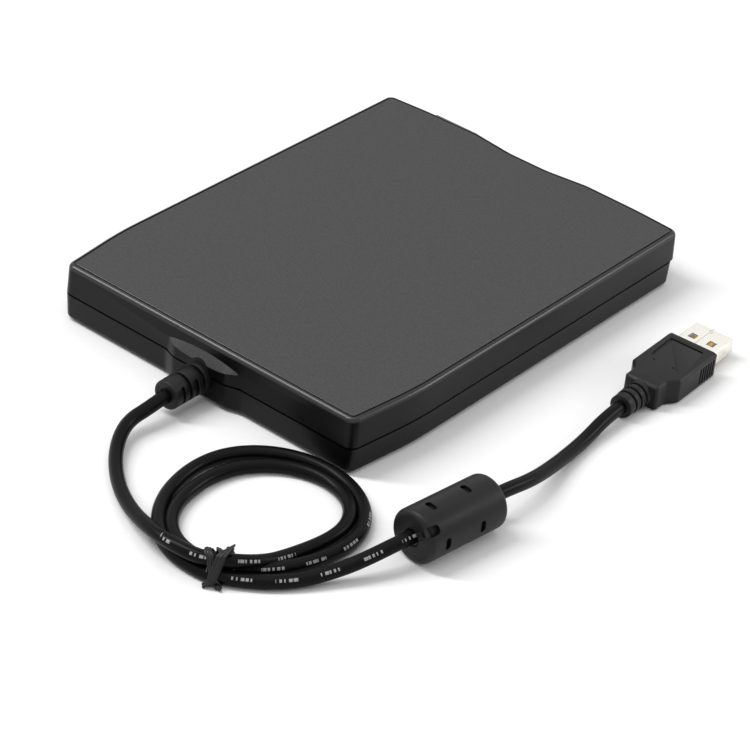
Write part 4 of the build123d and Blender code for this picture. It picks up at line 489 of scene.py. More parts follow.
class DRIVE_OT_stage(bpy.types.Operator):
    """Camera, lamps, world and floor"""
    bl_idname = "drive.stage"
    bl_label = "Stage"

    def execute(self, context):
        scene = context.scene
        scene.view_settings.view_transform = "Standard"
        azimuth, rise, roll = map(math.radians, (CAMERA_AZIMUTH, CAMERA_RISE, CAMERA_ROLL))
        level = math.cos(rise)
        back = Vector((math.sin(azimuth) * level, -math.cos(azimuth) * level, math.sin(rise)))
        right = (-back).cross(Vector((0, 0, 1))).normalized()
        up = right.cross(-back)
        across = math.cos(roll) * right + math.sin(roll) * up
        upward = -math.sin(roll) * right + math.cos(roll) * up
        lens = bpy.data.cameras.new("view")
        lens.lens, lens.sensor_width = CAMERA_LENS, CAMERA_SENSOR
        camera = linked("view", lens)
        camera.matrix_world = Matrix.Translation(Vector(CAMERA_AT) * MM) @ Matrix(
            (across, upward, back)).transposed().to_4x4()
        scene.camera = camera
        lamps = [
            # name, place, target, width, height, watts
            ("overhead", (-0.10, 0.10, 1.10), (-0.02, 0.03, 0), 1.2, 1.2, 3.2),
            ("high strip", (0.62, 0.46, 1.02), (-0.02, 0.06, 0), 0.16, 1.0, 11.0),
            ("side", (-0.70, -0.74, 0.50), (-0.08, 0.05, 0), 0.3, 0.3, 2.2),
        ]
        for name, place, target, width, height, watts in lamps:
            lamp = bpy.data.lights.new(name, "AREA")
            lamp.shape, lamp.size, lamp.size_y, lamp.energy = "RECTANGLE", width, height, watts
            holder = linked(name, lamp)
            aim = (Vector(target) - Vector(place)).to_track_quat("-Z", "Y")
            holder.matrix_world = Matrix.Translation(place) @ aim.to_matrix().to_4x4()
        world = bpy.data.worlds.new("studio")
        scene.world = world
        world.use_nodes = True
        world.node_tree.nodes.clear()
        add = partial(add_node, world.node_tree)
        path = add("LightPath").outputs
        seen = path["Is Camera Ray"]
        for ray in ("Is Glossy Ray", "Is Transmission Ray"):
            seen = add("Math", (seen, path[ray]), operation="MAXIMUM")
        strength = add("MapRange", (seen, 0.0, 1.0, 0.45, 1.0))
        sky = add("Background", {"Color": (1, 1, 1, 1), "Strength": strength})
        add("OutputWorld", {"Surface": sky})
        half = 2500.0
        ring = np.array([(-half, -half), (half, -half), (half, half), (-half, half), (-half, -half)])
        middle = np.zeros_like(ring)
        floor = linked("floor", surface("floor", np.dstack([np.stack([middle, ring]), np.zeros((2, 5))])))
        material, shader, where, add = start_material("floor_paper")
        grain = add("TexNoise", {"Vector": where, "Scale": 900.0, "Detail": 2.0})
        tint = add("Mix", {"Factor": grain, 6: linear("f8f8f8"), 7: linear("fdfdfd")}, data_type="RGBA")
        set_inputs(shader, {"Base Color": tint.outputs[2], "Roughness": 0.95, "Specular IOR Level": 0.0})
        floor.data.materials.append(material)
        return {"FINISHED"}


# ==================== the lead
GLAND_TIP, GLAND_HEIGHT, GLAND_DROOP = 12.3, 7.9, 8.0
RELIEF_FOOT, RELIEF_R, RELIEF_TAPER = 6.5, 4.2, 0.012
GROOVE_PITCH, GROOVE_WIDTH, GROOVE_DEPTH, GROOVE_ANGLES = 2.46, 0.95, 1.1, (180.0, 40.0, 180.0, 40.0)
FERRITE_AT, FERRITE_TURN, FERRITE_R, FERRITE_LENGTH = (-83.65, 70.7), 82.6, 7.6, 27.0
CORE_R, CORE_HALF = 5.9, 11.7
SLEEVE_R, SLEEVE_LENGTH, SLEEVE_SHIFT = 7.2, 26.2, -1.0   # the sleeve lies on the table, nearer to the coil
PIN_SLOTS, NOTCH_TURN = (-7.6, 4.1), -50.0                # places along the sleeve; degrees from its top
PLUG_AT, PLUG_TURN, PLUG_THICK, RELIEF_LENGTH = (-81.1, -11.9), -87.6, 7.4, 9.2
TIE_AT, TIE_TURN = (-54.6, 122.3), 212.0
# centre x, y, half width, reach away from the case, reach towards it, lean
INNER_TURN = (-46.1, 93.9, 18.5, 26.0, 18.4, 0.105)
OUTER_TURN = (-45.6, 93.7, 23.9, 30.7, 21.8, 0.03)
COIL_START, COIL_END_SPREAD = 114.5, 2.2
# place along the lead, and the print's side there as a share of a turn
PRINT_SIDE = [(0, 0.86), (65, 0.64), (66, 0.11), (106, 0.1), (107, -0.3), (217, -0.36), (218, 0.09),
              (262, 0.12), (263, 0.85), (367, 0.72), (368, 0.12), (421, 0.12), (422, 0.7), (508, 0.66)]
TIED_STRANDS = np.array([(-1.51, 1.85), (2.76, 1.85), (0.0, 5.55)])    # across the tie, above the table


def ease(share):
    """Smooth step from 0 to 1."""
    share = np.clip(share, 0, 1)
    return share * share * (3 - 2 * share)


def on_turn(turn, angle):
    """A turn of the coil: an ellipse, shorter towards the case and leaning to +X."""
    centre_x, centre_y, half_x, away, towards, lean = turn
    y = np.where(np.sin(angle) > 0, away, towards) * np.sin(angle)
    return np.stack([centre_x + half_x * np.cos(angle) + lean * y, centre_y + y], -1)


def coil_point(turns):
    """Centre of the strand, counted in turns from the tie: the inner turn, then the outer one."""
    turns = np.asarray(turns, float)
    angle = np.radians(COIL_START + 360 * turns)
    inner, outer = on_turn(INNER_TURN, angle), on_turn(OUTER_TURN, angle)
    share = ease((turns - 0.65) / 0.55)[..., None]
    spread = COIL_END_SPREAD * ease((turns - 1.8) / 0.2)[..., None]
    return inner + share * (outer - inner) + spread * np.stack([np.cos(angle), np.sin(angle)], -1)


def on_gland(distance):
    """A point on the strain relief's axis, counted from the bump's face."""
    droop = math.radians(GLAND_DROOP)
    return 0.0, BUMP_FACE + distance * math.cos(droop), GLAND_HEIGHT - distance * math.sin(droop)


def on_ferrite(distance, lift=0.0):
    """A point on the ferrite's axis, counted from its middle towards the plug."""
    (x, y), turn = FERRITE_AT, math.radians(FERRITE_TURN)
    return x - distance * math.cos(turn), y - distance * math.sin(turn), FERRITE_R + lift


def on_plug(along, z=PLUG_THICK / 2):
    """A point on the plug's axis, counted from the back of the grip towards its mouth."""
    turn = math.radians(PLUG_TURN)
    return PLUG_AT[0] + along * math.cos(turn), PLUG_AT[1] + along * math.sin(turn), z


def lead_route():
    """Control points of the lead from the case to the plug, in millimetres."""
    out = [on_gland(GLAND_TIP), on_gland(GLAND_TIP + 6.0), (0.8, 95.2, 4.2), (-1.6, 101.4, 3.1),
           (-7.0, 108.4, 2.2), (-15.2, 115.4, 2.0), (-24.6, 120.8, 2.8), (-34.6, 125.0, 5.1),
           (-42.6, 126.4, 6.0), (-50.4, 125.6, 5.8), (*TIE_AT, ON_STRAND), (-57.8, 119.8, 5.35),
           (-60.2, 114.0, 3.5), (-61.5, 108.0, 2.1)]
    turns = np.linspace(0.17, 1.97, 28)
    coil = [(x, y, ON_TABLE) for x, y in coil_point(turns)]
    end = coil_point([1.999, 2.0])
    along = (end[1] - end[0]) / np.linalg.norm(end[1] - end[0])
    leave = [(*end[1], ON_TABLE), (*(end[1] + 5.0 * along), ON_TABLE)]
    lead_in = FERRITE_LENGTH / 2 + 3.5
    tail = [(-65.8, 116.4, ON_TABLE), (-70.4, 110.7, 2.1), (-74.0, 104.6, 3.1), (-77.6, 98.2, 4.9),
            on_ferrite(-lead_in), on_ferrite(0, -0.1), on_ferrite(lead_in), (-86.6, 43.6, 6.0),
            (-85.4, 33.6, 4.0), (-83.9, 23.6, 2.6), (-82.6, 13.8, 2.05), on_plug(-RELIEF_LENGTH - 7.0),
            on_plug(-RELIEF_LENGTH)]
    return np.array(out + coil + leave + tail)


def smooth_line(points):
    """Points along the NURBS curve of order 3 that has the given control points and ends on the outer two."""
    curve = bpy.data.curves.new("route", "CURVE")
    curve.dimensions = "3D"
    spline = curve.splines.new("NURBS")
    spline.points.add(len(points) - 1)
    spline.points.foreach_set("co", np.column_stack([points * MM, np.ones(len(points))]).ravel())
    spline.order_u = 3
    spline.use_endpoint_u = True
    spline.resolution_u = 12
    carrier = linked("route", curve)
    bpy.context.view_layer.update()
    mesh = bpy.data.meshes.new_from_object(carrier)
    line = np.zeros(len(mesh.vertices) * 3)
    mesh.vertices.foreach_get("co", line)
    bpy.data.objects.remove(carrier)
    return line.reshape(-1, 3) / MM


class DRIVE_OT_lead(bpy.types.Operator):
    """The lead from the case to the plug, as one smooth tube"""
    bl_idname = "drive.lead"
    bl_label = "Lead"

    def execute(self, context):
        radius = context.scene.drive_settings.lead_radius / MM
        line = smooth_line(lead_route())
        step = np.linalg.norm(np.diff(line, axis=0), axis=1)
        run = np.concatenate([[0], np.cumsum(step)])
        steps = 28
        rows = tube_along(line, radius, steps)
        along = np.concatenate([[0], run, [run[-1]]]) * MM
        # the print turns with the jacket: each row gives a place along the run and the side it is on there
        side = np.interp(along / MM, *np.array(PRINT_SIDE).T)
        round_ = np.linspace(0, 1, steps + 1)[None] - side[:, None]
        uv = np.dstack(np.broadcast_arrays(along[:, None], round_))
        mesh = smooth(surface("lead", rows, uv=uv))
        add_piece("lead", mesh, "cable_jacket", "cord_lead", "cord_coil", "cord_tail")
        context.scene["lead_length"] = float(run[-1] * MM)
        context.scene["lead_line"] = (line * MM).ravel().tolist()
        print("lead length, mm", round(float(run[-1]), 1))
        return {"FINISHED"}


# the tie's winding: degrees from the far side over the top, place along the strands, lift, the ribbon's roll
TIE_WOUND = np.array([
    (60, 2.6, 1.7, -50), (90, 2.0, 1.6, -25), (130, 0.5, 1.4, 10), (180, -1.8, 1.2, 40), (222, -2.4, 1.05, 10),
    (268, -0.8, 0.7, 0), (360, -2.1, 0.45, 0), (450, -3.2, 0.4, 10), (490, -2.5, 0.35, -15),
    (540, -0.7, 0.35, -15), (585, 0.6, 0.4, 0), (625, 0.2, 0.5, 0), (720, -0.9, 0.5, 0), (800, -0.2, 0.6, 30),
    (850, 1.1, 0.75, 50), (905, -1.2, 0.95, 20), (945, -1.7, 1.0, -20), (990, -0.2, 0.8, 0),
    (1080, 1.5, 0.8, 0), (1120, 1.9, 1.1, 0)])
# its twisted ends: start, stop, radius of the twist, turns
TIE_ENDS = [((1.4, 1.0, 8.0), (2.7, 0.5, 8.6), 0.42, 1.0), ((-1.9, -3.8, 1.0), (-3.1, -4.6, 0.75), 0.28, 0.8),
            ((-0.2, -4.2, 0.75), (1.2, -4.9, 0.7), 0.25, 0.6)]
RIBBON_HALF, RIBBON_THICK, RIBBON_WIRE = 1.02, 0.4, 0.36   # half width and thickness, half width of the wire


def hull_point(turn, lift):
    """Outline round the three tied strands, in (across, height): the strand that reaches furthest along the
    turn's direction, plus its radius and the lift in that direction. Also gives the direction."""
    way = np.stack([np.cos(turn), np.sin(turn)], -1)
    furthest = np.argmax(way @ TIED_STRANDS.T, -1)
    return TIED_STRANDS[furthest] + (CABLE_R + lift)[..., None] * way, way


def running_mean(values, reach):
    """Each value's mean with its neighbours, up to the given number on both sides."""
    kernel = np.ones(2 * reach + 1) / (2 * reach + 1)
    padded = np.pad(values, ((reach, reach), (0, 0)), "edge")
    return np.stack([np.convolve(column, kernel, "valid") for column in padded.T], -1)


class DRIVE_OT_tie(bpy.types.Operator):
    """The wire tie that holds the coil: one flat ribbon wound three times, with twisted ends"""
    bl_idname = "drive.tie"
    bl_label = "Wire tie"

    def execute(self, context):
        turn = math.radians(TIE_TURN)
        strand = (math.cos(turn), math.sin(turn), 0.0)
        degrees = np.linspace(TIE_WOUND[0, 0], TIE_WOUND[-1, 0], 460)
        shift, lift, roll = (np.interp(degrees, TIE_WOUND[:, 0], column) for column in TIE_WOUND[:, 1:].T)
        place, out = hull_point(np.radians(degrees), lift)
        middle = running_mean(np.column_stack([shift, place[:, 0], np.maximum(place[:, 1], 0.42)]), 9)
        out = running_mean(np.column_stack([0 * shift, out]), 9)
        along = np.gradient(middle, axis=0)
        along /= np.linalg.norm(along, axis=1, keepdims=True)
        flat = np.cross(along, out)
        flat /= np.linalg.norm(flat, axis=1, keepdims=True)
        out = np.cross(flat, along)
        roll = np.radians(running_mean(roll[:, None], 9))
        flat, out = np.cos(roll) * flat + np.sin(roll) * out, np.cos(roll) * out - np.sin(roll) * flat
        # section: two wings folded round a wire, with a crease on both sides of it
        a = np.linspace(0, 2 * np.pi, 33)
        wing = RIBBON_HALF * np.cos(a)
        thick = RIBBON_THICK * np.sin(a) * (1 - 0.45 * np.exp(-((np.abs(wing) - RIBBON_WIRE) / 0.13) ** 2))
        rows = middle[:, None] + wing[None, :, None] * flat[:, None] + thick[None, :, None] * out[:, None]
        rows = np.concatenate([np.broadcast_to(middle[:1, None], rows[:1].shape), rows,
                               np.broadcast_to(middle[-1:, None], rows[:1].shape)])
        rows[..., 2] = np.maximum(rows[..., 2], 0.02)
        sheets = [on_axis(rows, (*TIE_AT, 0.0), strand)]
        # each end is a pair of strands twisted round each other: two helices along a short line
        t = np.linspace(0, 1, 40)[:, None]
        for start, stop, radius, turns in TIE_ENDS:
            core = np.array(start) + t * (np.array(stop) - np.array(start))
            for phase in (0.0, math.pi):
                angle = 2 * math.pi * turns * t + phase
                coil = core + radius * np.hstack([0 * t, np.cos(angle), np.sin(angle)])
                sheets.append(on_axis(tube_along(coil, 0.4, 12), (*TIE_AT, 0.0), strand))
        add_piece("wire_tie", smooth(surface("wire_tie", *sheets), 60), "tie_plastic", "twist_tie")
        return {"FINISHED"}


def relief_mesh():
    """Strain relief: a cone of radius RELIEF_R - RELIEF_TAPER * distance from the case, less its grooves.

    The first and third groove run all round; the second and fourth are slots at both sides, where the depth
    fades out beyond the slot's half angle. The neck and flange inside the case are a second surface."""
    rows = [(-0.6, 0.0, 180.0)]
    for k, half_angle in enumerate(GROOVE_ANGLES):
        start, stop = (k + 1) * GROOVE_PITCH - GROOVE_WIDTH, (k + 1) * GROOVE_PITCH
        steps = [(start - 0.2, 0.0), (start - 0.08, 0.02), (start - 0.02, 0.07), (start, 0.16),
                 (start + 0.01, GROOVE_DEPTH), (stop - 0.01, GROOVE_DEPTH), (stop, 0.12), (stop + 0.03, 0.04),
                 (stop + 0.12, 0.0)]
        rows += [(d, cut, half_angle) for d, cut in steps]
    tip_edge = ((0.6, 0.0), (0.35, 0.04), (0.15, 0.15), (0.05, 0.28), (0, 0.5))
    rows += [(GLAND_TIP - d, cut, 180.0) for d, cut in tip_edge]
    distance, cut, half_angle = np.array(rows).T[:, :, None]
    angle = np.linspace(0, 2 * np.pi, 145)[None]
    from_side = np.degrees(np.arcsin(np.abs(np.sin(angle))))
    mask = np.where(half_angle > 90, 1.0, ease((half_angle + 1.5 - from_side) / 3.0))
    radius = RELIEF_R - RELIEF_TAPER * distance - cut * mask
    distance = np.broadcast_to(distance, radius.shape)
    barrel = np.dstack([distance, radius * np.cos(angle), radius * np.sin(angle)])
    ends = [(-0.6, 0.0), (GLAND_TIP, 3.0), (GLAND_TIP - 0.12, 2.9), (GLAND_TIP - 0.12, 2.15),
            (GLAND_TIP - 0.4, 1.9), (GLAND_TIP - 0.4, 0.0)]
    caps = [np.dstack([d + 0 * angle, r * np.cos(angle), r * np.sin(angle)]) for d, r in ends]
    barrel = np.concatenate([caps[0], barrel, *caps[1:]])
    # (radius, height along the lead) of the neck in the case's opening and of the flange behind the wall
    inside = turned_profile([(0, -3.6), (1.85, -3.6), (1.85, -1.9), (5.0, -1.9), (5.2, -1.7), (5.2, -0.3),
                             (5.0, -0.1), (3.5, -0.1), (3.5, 3.3), (0, 3.3)])
    # the grip sits a little below its neck, and its tip is where the lead starts
    tip = np.array(on_gland(GLAND_TIP))
    way = tip - np.array([0.0, BUMP_FACE, RELIEF_FOOT])
    out = on_axis(barrel - np.array([GLAND_TIP, 0, 0]), tip, way)
    neck = on_axis(inside[..., [2, 0, 1]], (0, REAR_WALL - WALL, SEAM), (0, 1, 0))
    return smooth(surface("strain_relief_grip", out, neck), 40)


class DRIVE_OT_relief(bpy.types.Operator):
    """The flexible strain relief where the lead leaves the case"""
    bl_idname = "drive.relief"
    bl_label = "Strain relief"

    def execute(self, context):
        add_piece("strain_relief_grip", relief_mesh(), "moulded_pvc", "strain_relief")
        return {"FINISHED"}


def round_ferrite(rows, turn_degrees, height):
    """Rows in a frame whose x runs along the ferrite and whose z points out of it at the given turn."""
    axis = -np.array([math.cos(math.radians(FERRITE_TURN)), math.sin(math.radians(FERRITE_TURN)), 0.0])
    side, turn = np.cross([0.0, 0.0, 1.0], axis), math.radians(turn_degrees)
    outward = math.cos(turn) * np.array([0.0, 0.0, 1.0]) + math.sin(turn) * side
    return on_axis(rows + np.array([SLEEVE_SHIFT, 0.0, 0.0]), (*FERRITE_AT, height), axis, outward)


def slot_cutter(along, turn_degrees, long_x, long_y, corner, low, high):
    """A round-cornered block that stands out of the sleeve, from one radius to another."""
    half_x, half_y = long_x / 2, long_y / 2
    corners = [(-half_x, -half_y), (half_x, -half_y), (half_x, half_y), (-half_x, half_y)]
    ring, out = rounded_ring(corners, [corner] * 4, 8)
    rows = raised(ring, out, [(0, low), (0, high)]) + np.array([along, 0.0, 0.0])
    return surface("tool", round_ferrite(rows, turn_degrees, SLEEVE_R))


class DRIVE_OT_ferrite(bpy.types.Operator):
    """The moulded sleeve round the ferrite, with the slots that the mould's pins leave"""
    bl_idname = "drive.ferrite"
    bl_label = "Ferrite sleeve"

    def execute(self, context):
        half, r = SLEEVE_LENGTH / 2, SLEEVE_R
        rounding = [(r - i, half - 1.6 + h) for i, h in quarter(1.6, 0, 0, 0, 78, 9)]
        upper = rounding + [(r - 1.7, half), (2.5, half), (2.05, half - 0.4), (0, half - 0.4)]
        rows = turned_profile([(x, -z) for x, z in upper[::-1]] + upper, 112)
        body = surface("sleeve", round_ferrite(rows[..., [2, 1, 0]] * np.array([1, -1, 1]), 0, r))
        cuts = [slot_cutter(along, turn, 1.65, 3.3, 0.75, r - 1.2, r + 1)
                for along in PIN_SLOTS for turn in (0, 90, 180, 270)]
        cuts.append(slot_cutter(-half + 0.8, NOTCH_TURN, 5.4, 2.5, 1.0, r - 1.6, r + 1))
        for size, reach in ((CABLE_R + 0.1, half + 1), (CORE_R, CORE_HALF)):
            hollow = turned_profile([(0, -reach), (size, -reach), (size, reach), (0, reach)])
            cuts.append(surface("tool", round_ferrite(hollow[..., [2, 1, 0]], 0, FERRITE_R)))
        bore, soft = 2.6, 0.4
        pressed = [(bore, -CORE_HALF), (CORE_R - soft, -CORE_HALF), (CORE_R, soft - CORE_HALF),
                   (CORE_R, CORE_HALF - soft), (CORE_R - soft, CORE_HALF), (bore, CORE_HALF),
                   (bore, -CORE_HALF)]
        core = surface("core", round_ferrite(turned_profile(pressed, 96)[..., [2, 1, 0]], 0, FERRITE_R))
        add_piece("ferrite_bead", smooth(core), "ferrite", "ferrite_core")
        # a tab in the notch, and a nib over the lead at the plug's end
        tab = slot_cutter(-half, NOTCH_TURN, 1.1, 1.5, 0.3, r - 4.2, r - 2.3)
        nib = turned_profile([(0, -1.2), (0.85, -1.2), (0.75, 0.2), (0.1, 1.1), (0, 1.1)], 24)
        nib = nib[..., [2, 1, 0]] + np.array([half, 0, CABLE_R + 0.75])
        nib = surface("tool", round_ferrite(nib, -20, FERRITE_R))
        sleeve = combined("ferrite_sleeve", body, *[("DIFFERENCE", cut) for cut in cuts], ("UNION", tab),
                          ("UNION", nib))
        add_piece("ferrite_sleeve", smooth(sleeve, 40), "moulded_pvc", "ferrite_cover")
        return {"FINISHED"}


def on_grip(rows):
    """Rows given along the plug, across it and above its middle, moved to where the plug lies."""
    turn = math.radians(PLUG_TURN)
    return on_axis(rows, (*PLUG_AT, PLUG_THICK / 2), (math.cos(turn), math.sin(turn), 0.0))


def grip_block(x0, x1, y0, y1, z0, z1, corner=0.15):
    """A block with rounded upright edges in the plug's own frame."""
    ring, out = rounded_ring([(x0, y0), (x1, y0), (x1, y1), (x0, y1)], [corner] * 4, 5)
    return surface("tool", on_grip(raised(ring, out, [(0, z0), (0, z1)], ((x0 + x1) / 2, (y0 + y1) / 2))))


class DRIVE_OT_plug(bpy.types.Operator):
    """The plug's grip, its steel sleeve and the contacts in it"""
    bl_idname = "drive.plug"
    bl_label = "USB plug"

    def execute(self, context):
        top, half_high = PLUG_THICK / 2, 2.25
        body = softened("plug_body", "plug_grip", 0.18)
        # two grooves in the grip's upper side, along it and across it, and two pits of the mould's pins
        cuts = [grip_block(*plan, top - 0.55, top + 1)
                for plan in ((12.9, 23.2, 4.6, 5.3), (22.6, 23.3, -4.4, 5.2))]
        for across in (3.33, -2.73):
            pit = turned_profile([(0, top - 0.4), (0.34, top - 0.4), (0.36, top + 1), (0, top + 1)], 20)
            cuts.append(surface("tool", on_grip(pit + np.array([11.15, across, 0.0]))))
        body = combined("plug_body", body, *[("DIFFERENCE", cut) for cut in cuts])
        add_piece("plug_body", smooth(body, 34), "moulded_pvc", "plug_grip")
        # the sleeve is one rolled sheet: a seam with a dovetail lock runs along its top; a thin dark-steel wire
        # on it is painted shade for the seam's gap
        sleeve = softened("plug_sleeve", "plug_shell", 0.06)
        add_piece("plug_sleeve", sleeve, "plug_steel", "plug_shell")
        seam = np.array([(26.5, 0.55), (31.2, 0.55), (34.9, 0.55), (34.9, 0.05), (35.7, -0.15), (35.7, 0.95),
                         (36.5, 0.75), (36.5, 0.4), (37.3, 0.4)])
        spots = np.linspace(0, len(seam) - 1, 90)
        x, y = (np.interp(spots, np.arange(len(seam)), column) for column in seam.T)
        line = np.column_stack([x, y, np.full(len(spots), half_high - 0.05)])
        seam_shade_wire = surface("plug_seam_shade", on_grip(tube_along(line, 0.07, 8)))
        add_piece("plug_seam_shade", smooth(seam_shade_wire), "plug_steel", finish="screw_steel")
        # four gilt strips on the insulator, whose lower side is at this height
        low = -half_high + 0.32
        strips = []
        for across in (-3.5, -1.0, 1.0, 3.5):
            ring, out = rounded_ring([(30.9, across - 0.5), (35.8, across - 0.5), (35.8, across + 0.5),
                                      (30.9, across + 0.5)], [0.4] * 4, 6)
            strips.append(on_grip(raised(ring, out, [(0, low + 1.6), (0, low + 1.74), (0.05, low + 1.79)],
                                         (33.3, across))))
        add_piece("contact_strips", smooth(surface("contact_strips", *strips)), "contact_gold", "plug_contacts")
        return {"FINISHED"}


# ==================== case
# the front edge: x, y from the corners' line, radius of the turn
FRONT_WAVE = [(38.0, -1.05, 150.0), (19.5, -1.4, 12.0), (6.5, 0.35, 30.0)]
# recesses in the floor for screws, feet and the drive's screws: x, y, radius, height of the end, steps
FLOOR_HOLES = [(44.0, REAR_WALL - 6.9, 2.15, 3.5, 32),
               (43.0, FRONT_CORNER + 11.0, 5.1, CASE_UNDER + 0.6, 40),
               (43.0, REAR_WALL - 15.5, 5.1, CASE_UNDER + 0.6, 40),
               (40.0, -48.2, 2.05, CASE_UNDER + 0.8, 32), (40.0, 44.0, 2.05, CASE_UNDER + 0.8, 32)]


def case_ring(with_bump, setback):
    """The case's outline in plan, counter-clockwise, with outward vectors."""
    right = [(HALF_WIDTH, TAPER_Y, 120.0), (HALF_WIDTH, FRONT_CORNER + setback, CORNER_R)]
    right += [(x, FRONT_CORNER + y + setback, r) for x, y, r in FRONT_WAVE]
    rear = [(9.2, BUMP_FACE, 5.0), (12.9, REAR_WALL, 5.0)] if with_bump else []
    half = rear + [(REAR_HALF_WIDTH, REAR_WALL, CORNER_R)] + right
    whole = half + [(-x, y, r) for x, y, r in reversed(half)]
    whole = whole[::-1]
    return rounded_ring([(x, y) for x, y, r in whole], [r for x, y, r in whole], 16)


def shell_cuts(z0, z1):
    """Cutters for the case's hollow between two heights, for the front window and for the lead's way out."""
    half_rear, half, r = REAR_HALF_WIDTH - WALL, HALF_WIDTH - WALL, CORNER_R - WALL
    y1, y0 = REAR_WALL - WALL, FRONT_CORNER + WALL + LOWER_SETBACK
    corners = [(-half_rear, y1), (-half, TAPER_Y), (-half, y0), (half, y0), (half, TAPER_Y), (half_rear, y1)]
    ring, outward = rounded_ring(corners, [r, 120.0, r, r, 120.0, r], 10)
    hollow = surface("tool", raised(ring, outward, [(0, z0), (0, z1)]))
    gland = rod_mesh(0, SEAM, 3.6, REAR_WALL - WALL - 2, BUMP_FACE + 2)
    return [("DIFFERENCE", tool) for tool in (hollow, box_mesh(*WINDOW), gland)]


def quarter(radius, inset, height, start, stop, steps=9):
    """Arc of an edge's rounding as (inset, height) pairs; angles in degrees from the outward direction."""
    a = np.radians(np.linspace(start, stop, steps))
    return [(inset + radius * (1 - math.cos(t)), height + radius * math.sin(t)) for t in a]


def bump_mesh():
    """The swelling over the lead's way out: a section of (y, z) points carried along X.

    Its face follows y = wall + rise * smooth step at the seam and a narrower one at its top. From there a slope
    runs up to an arc on the wall, highest in the middle; slope and wall meet at the swelling's two ends."""
    x = np.linspace(-14.4, 14.4, 145)
    face = REAR_WALL - 0.4 + (BUMP_FACE - REAR_WALL + 0.4) * ease((14.2 - np.abs(x)) / 5.8)
    share = np.clip(np.abs(x) / 12.3, 0, 1) ** 2
    on_wall, edge_z = FACET_TOP - FACET_TOP_FALL * share, FACET_LOW + FACET_LOW_RISE * share
    wall = REAR_WALL - DRAFT * (on_wall - SEAM) / (CASE_TOP - EDGE_R - SEAM)
    rim = np.minimum(wall - 0.06 + (BUMP_FACE - wall + 0.06) * ease((12.7 - np.abs(x)) / 4.5), face - 0.01)
    root = REAR_WALL - 1.45 + 0 * x
    flat = 0 * x + SEAM
    sections = [(root, flat), (face - SEAM_DEPTH, flat), (face - SEAM_DEPTH, flat + 0.2),
                (face, flat + SEAM_HALF), (rim, edge_z - 0.2), (rim - 0.03, edge_z),
                (np.minimum(rim - 0.04, wall + 0.012), on_wall), (root, on_wall + 0.06)]
    loop = np.stack([np.stack([x, y, z], -1) for y, z in sections + sections[:1]], 1)
    middle = loop[:, :-1].mean(1, keepdims=True)
    ends = [np.broadcast_to(middle[i], (1, loop.shape[1], 3)) for i in (0, -1)]
    return surface("bump", np.concatenate([ends[0], loop, ends[1]]))


class DRIVE_OT_case(bpy.types.Operator):
    """Upper and lower shells of the case, with fine edges"""
    bl_idname = "drive.case"
    bl_label = "Case shells"

    def execute(self, context):
        ring, outward = case_ring(False, 0.0)
        edge = quarter(EDGE_R, DRAFT, CASE_TOP - EDGE_R, 0, 82, 12)
        groove = [(EDGE_R + DRAFT - 0.12, CASE_TOP - 0.3), (EDGE_R + DRAFT + 0.25, CASE_TOP - 0.32),
                  (EDGE_R + DRAFT + 0.32, CASE_TOP - 0.05), (EDGE_R + DRAFT + 0.38, CASE_TOP)]
        outer = [(SEAM_DEPTH, SEAM), (SEAM_DEPTH, SEAM + 0.2), (0.0, SEAM + SEAM_HALF)] + edge + groove
        body = surface("upper", raised(ring, outward, outer))
        # a low brow on the front, over the light and the button
        brow_ring, brow_out = rounded_ring([(20, 14.7), (36, 14.7), (36, 16.4), (20, 16.4)], [0.6] * 4, 5)
        brow_rows = raised(brow_ring, brow_out, [(0, 67.4), (0, 70.1)] + quarter(0.6, 0, 70.1, 0, 60, 5)[1:],
                           (28, 15.5))
        brow = surface("tool", brow_rows[..., [0, 2, 1]] * np.array([1, -1, 1]))
        upper = combined("case_top", body, ("UNION", bump_mesh()), ("UNION", brow),
                         *shell_cuts(SEAM - 2, CASE_TOP - ROOF_WALL))
        add_piece("case_top", smooth(upper), "case_plastic", "upper_shell")
        ring, outward = case_ring(True, LOWER_SETBACK)
        foot = [(i, 2 * CASE_UNDER + 1.2 - h) for i, h in quarter(1.2, DRAFT, CASE_UNDER, 0, 90, 7)[::-1]]
        outer = foot + [(0.0, SEAM - SEAM_HALF), (SEAM_DEPTH, SEAM - 1.1), (SEAM_DEPTH, SEAM)]
        body = surface("lower", raised(ring, outward, outer))
        holes = [("DIFFERENCE", post_mesh(side * x, y, r, -1, end, steps))
                 for side in (-1, 1) for x, y, r, end, steps in FLOOR_HOLES]
        lower = combined("case_base", body, *shell_cuts(CASE_UNDER + FLOOR_WALL, SEAM + 2), *holes)
        add_piece("case_base", smooth(lower), "case_plastic", "lower_shell")
        return {"FINISHED"}


SOFTENED = {
    # node: rounding of its edges, in millimetres
    "front_bezel": 0.25, "dust_flap": 0.2, "eject_button": 0.35, "led_window": 0.15, "drive_chassis": 0.12,
    "drive_top_cover": 0.1, "slide_plate": 0.12, "disk_cradle": 0.12, "shutter_lever": 0.15, "hub_plate": 0.1,
    "spindle_rotor": 0.12, "head_carriage": 0.2, "lower_head": 0.1, "upper_head_arm": 0.15, "upper_head": 0.1,
    "stepper_motor": 0.15, "stepper_bracket": 0.1, "board_chips": 0.1, "board_connector": 0.1,
    "interface_chips": 0.1, "sensor_switches": 0.1, "plug_insulator": 0.08,
}


# eject springs: place across and above the table, fixed end, free end at rest, length when squeezed
SPRING_X, SPRING_Z, SPRING_FIXED, SPRING_FREE, SPRING_SQUEEZED = 42.0, 5.3, -45.5, -26.0, 14.5
SPRING_R, SPRING_WIRE, SPRING_TURNS, SPRING_LOOP = 0.8, 0.17, 19, 2.0


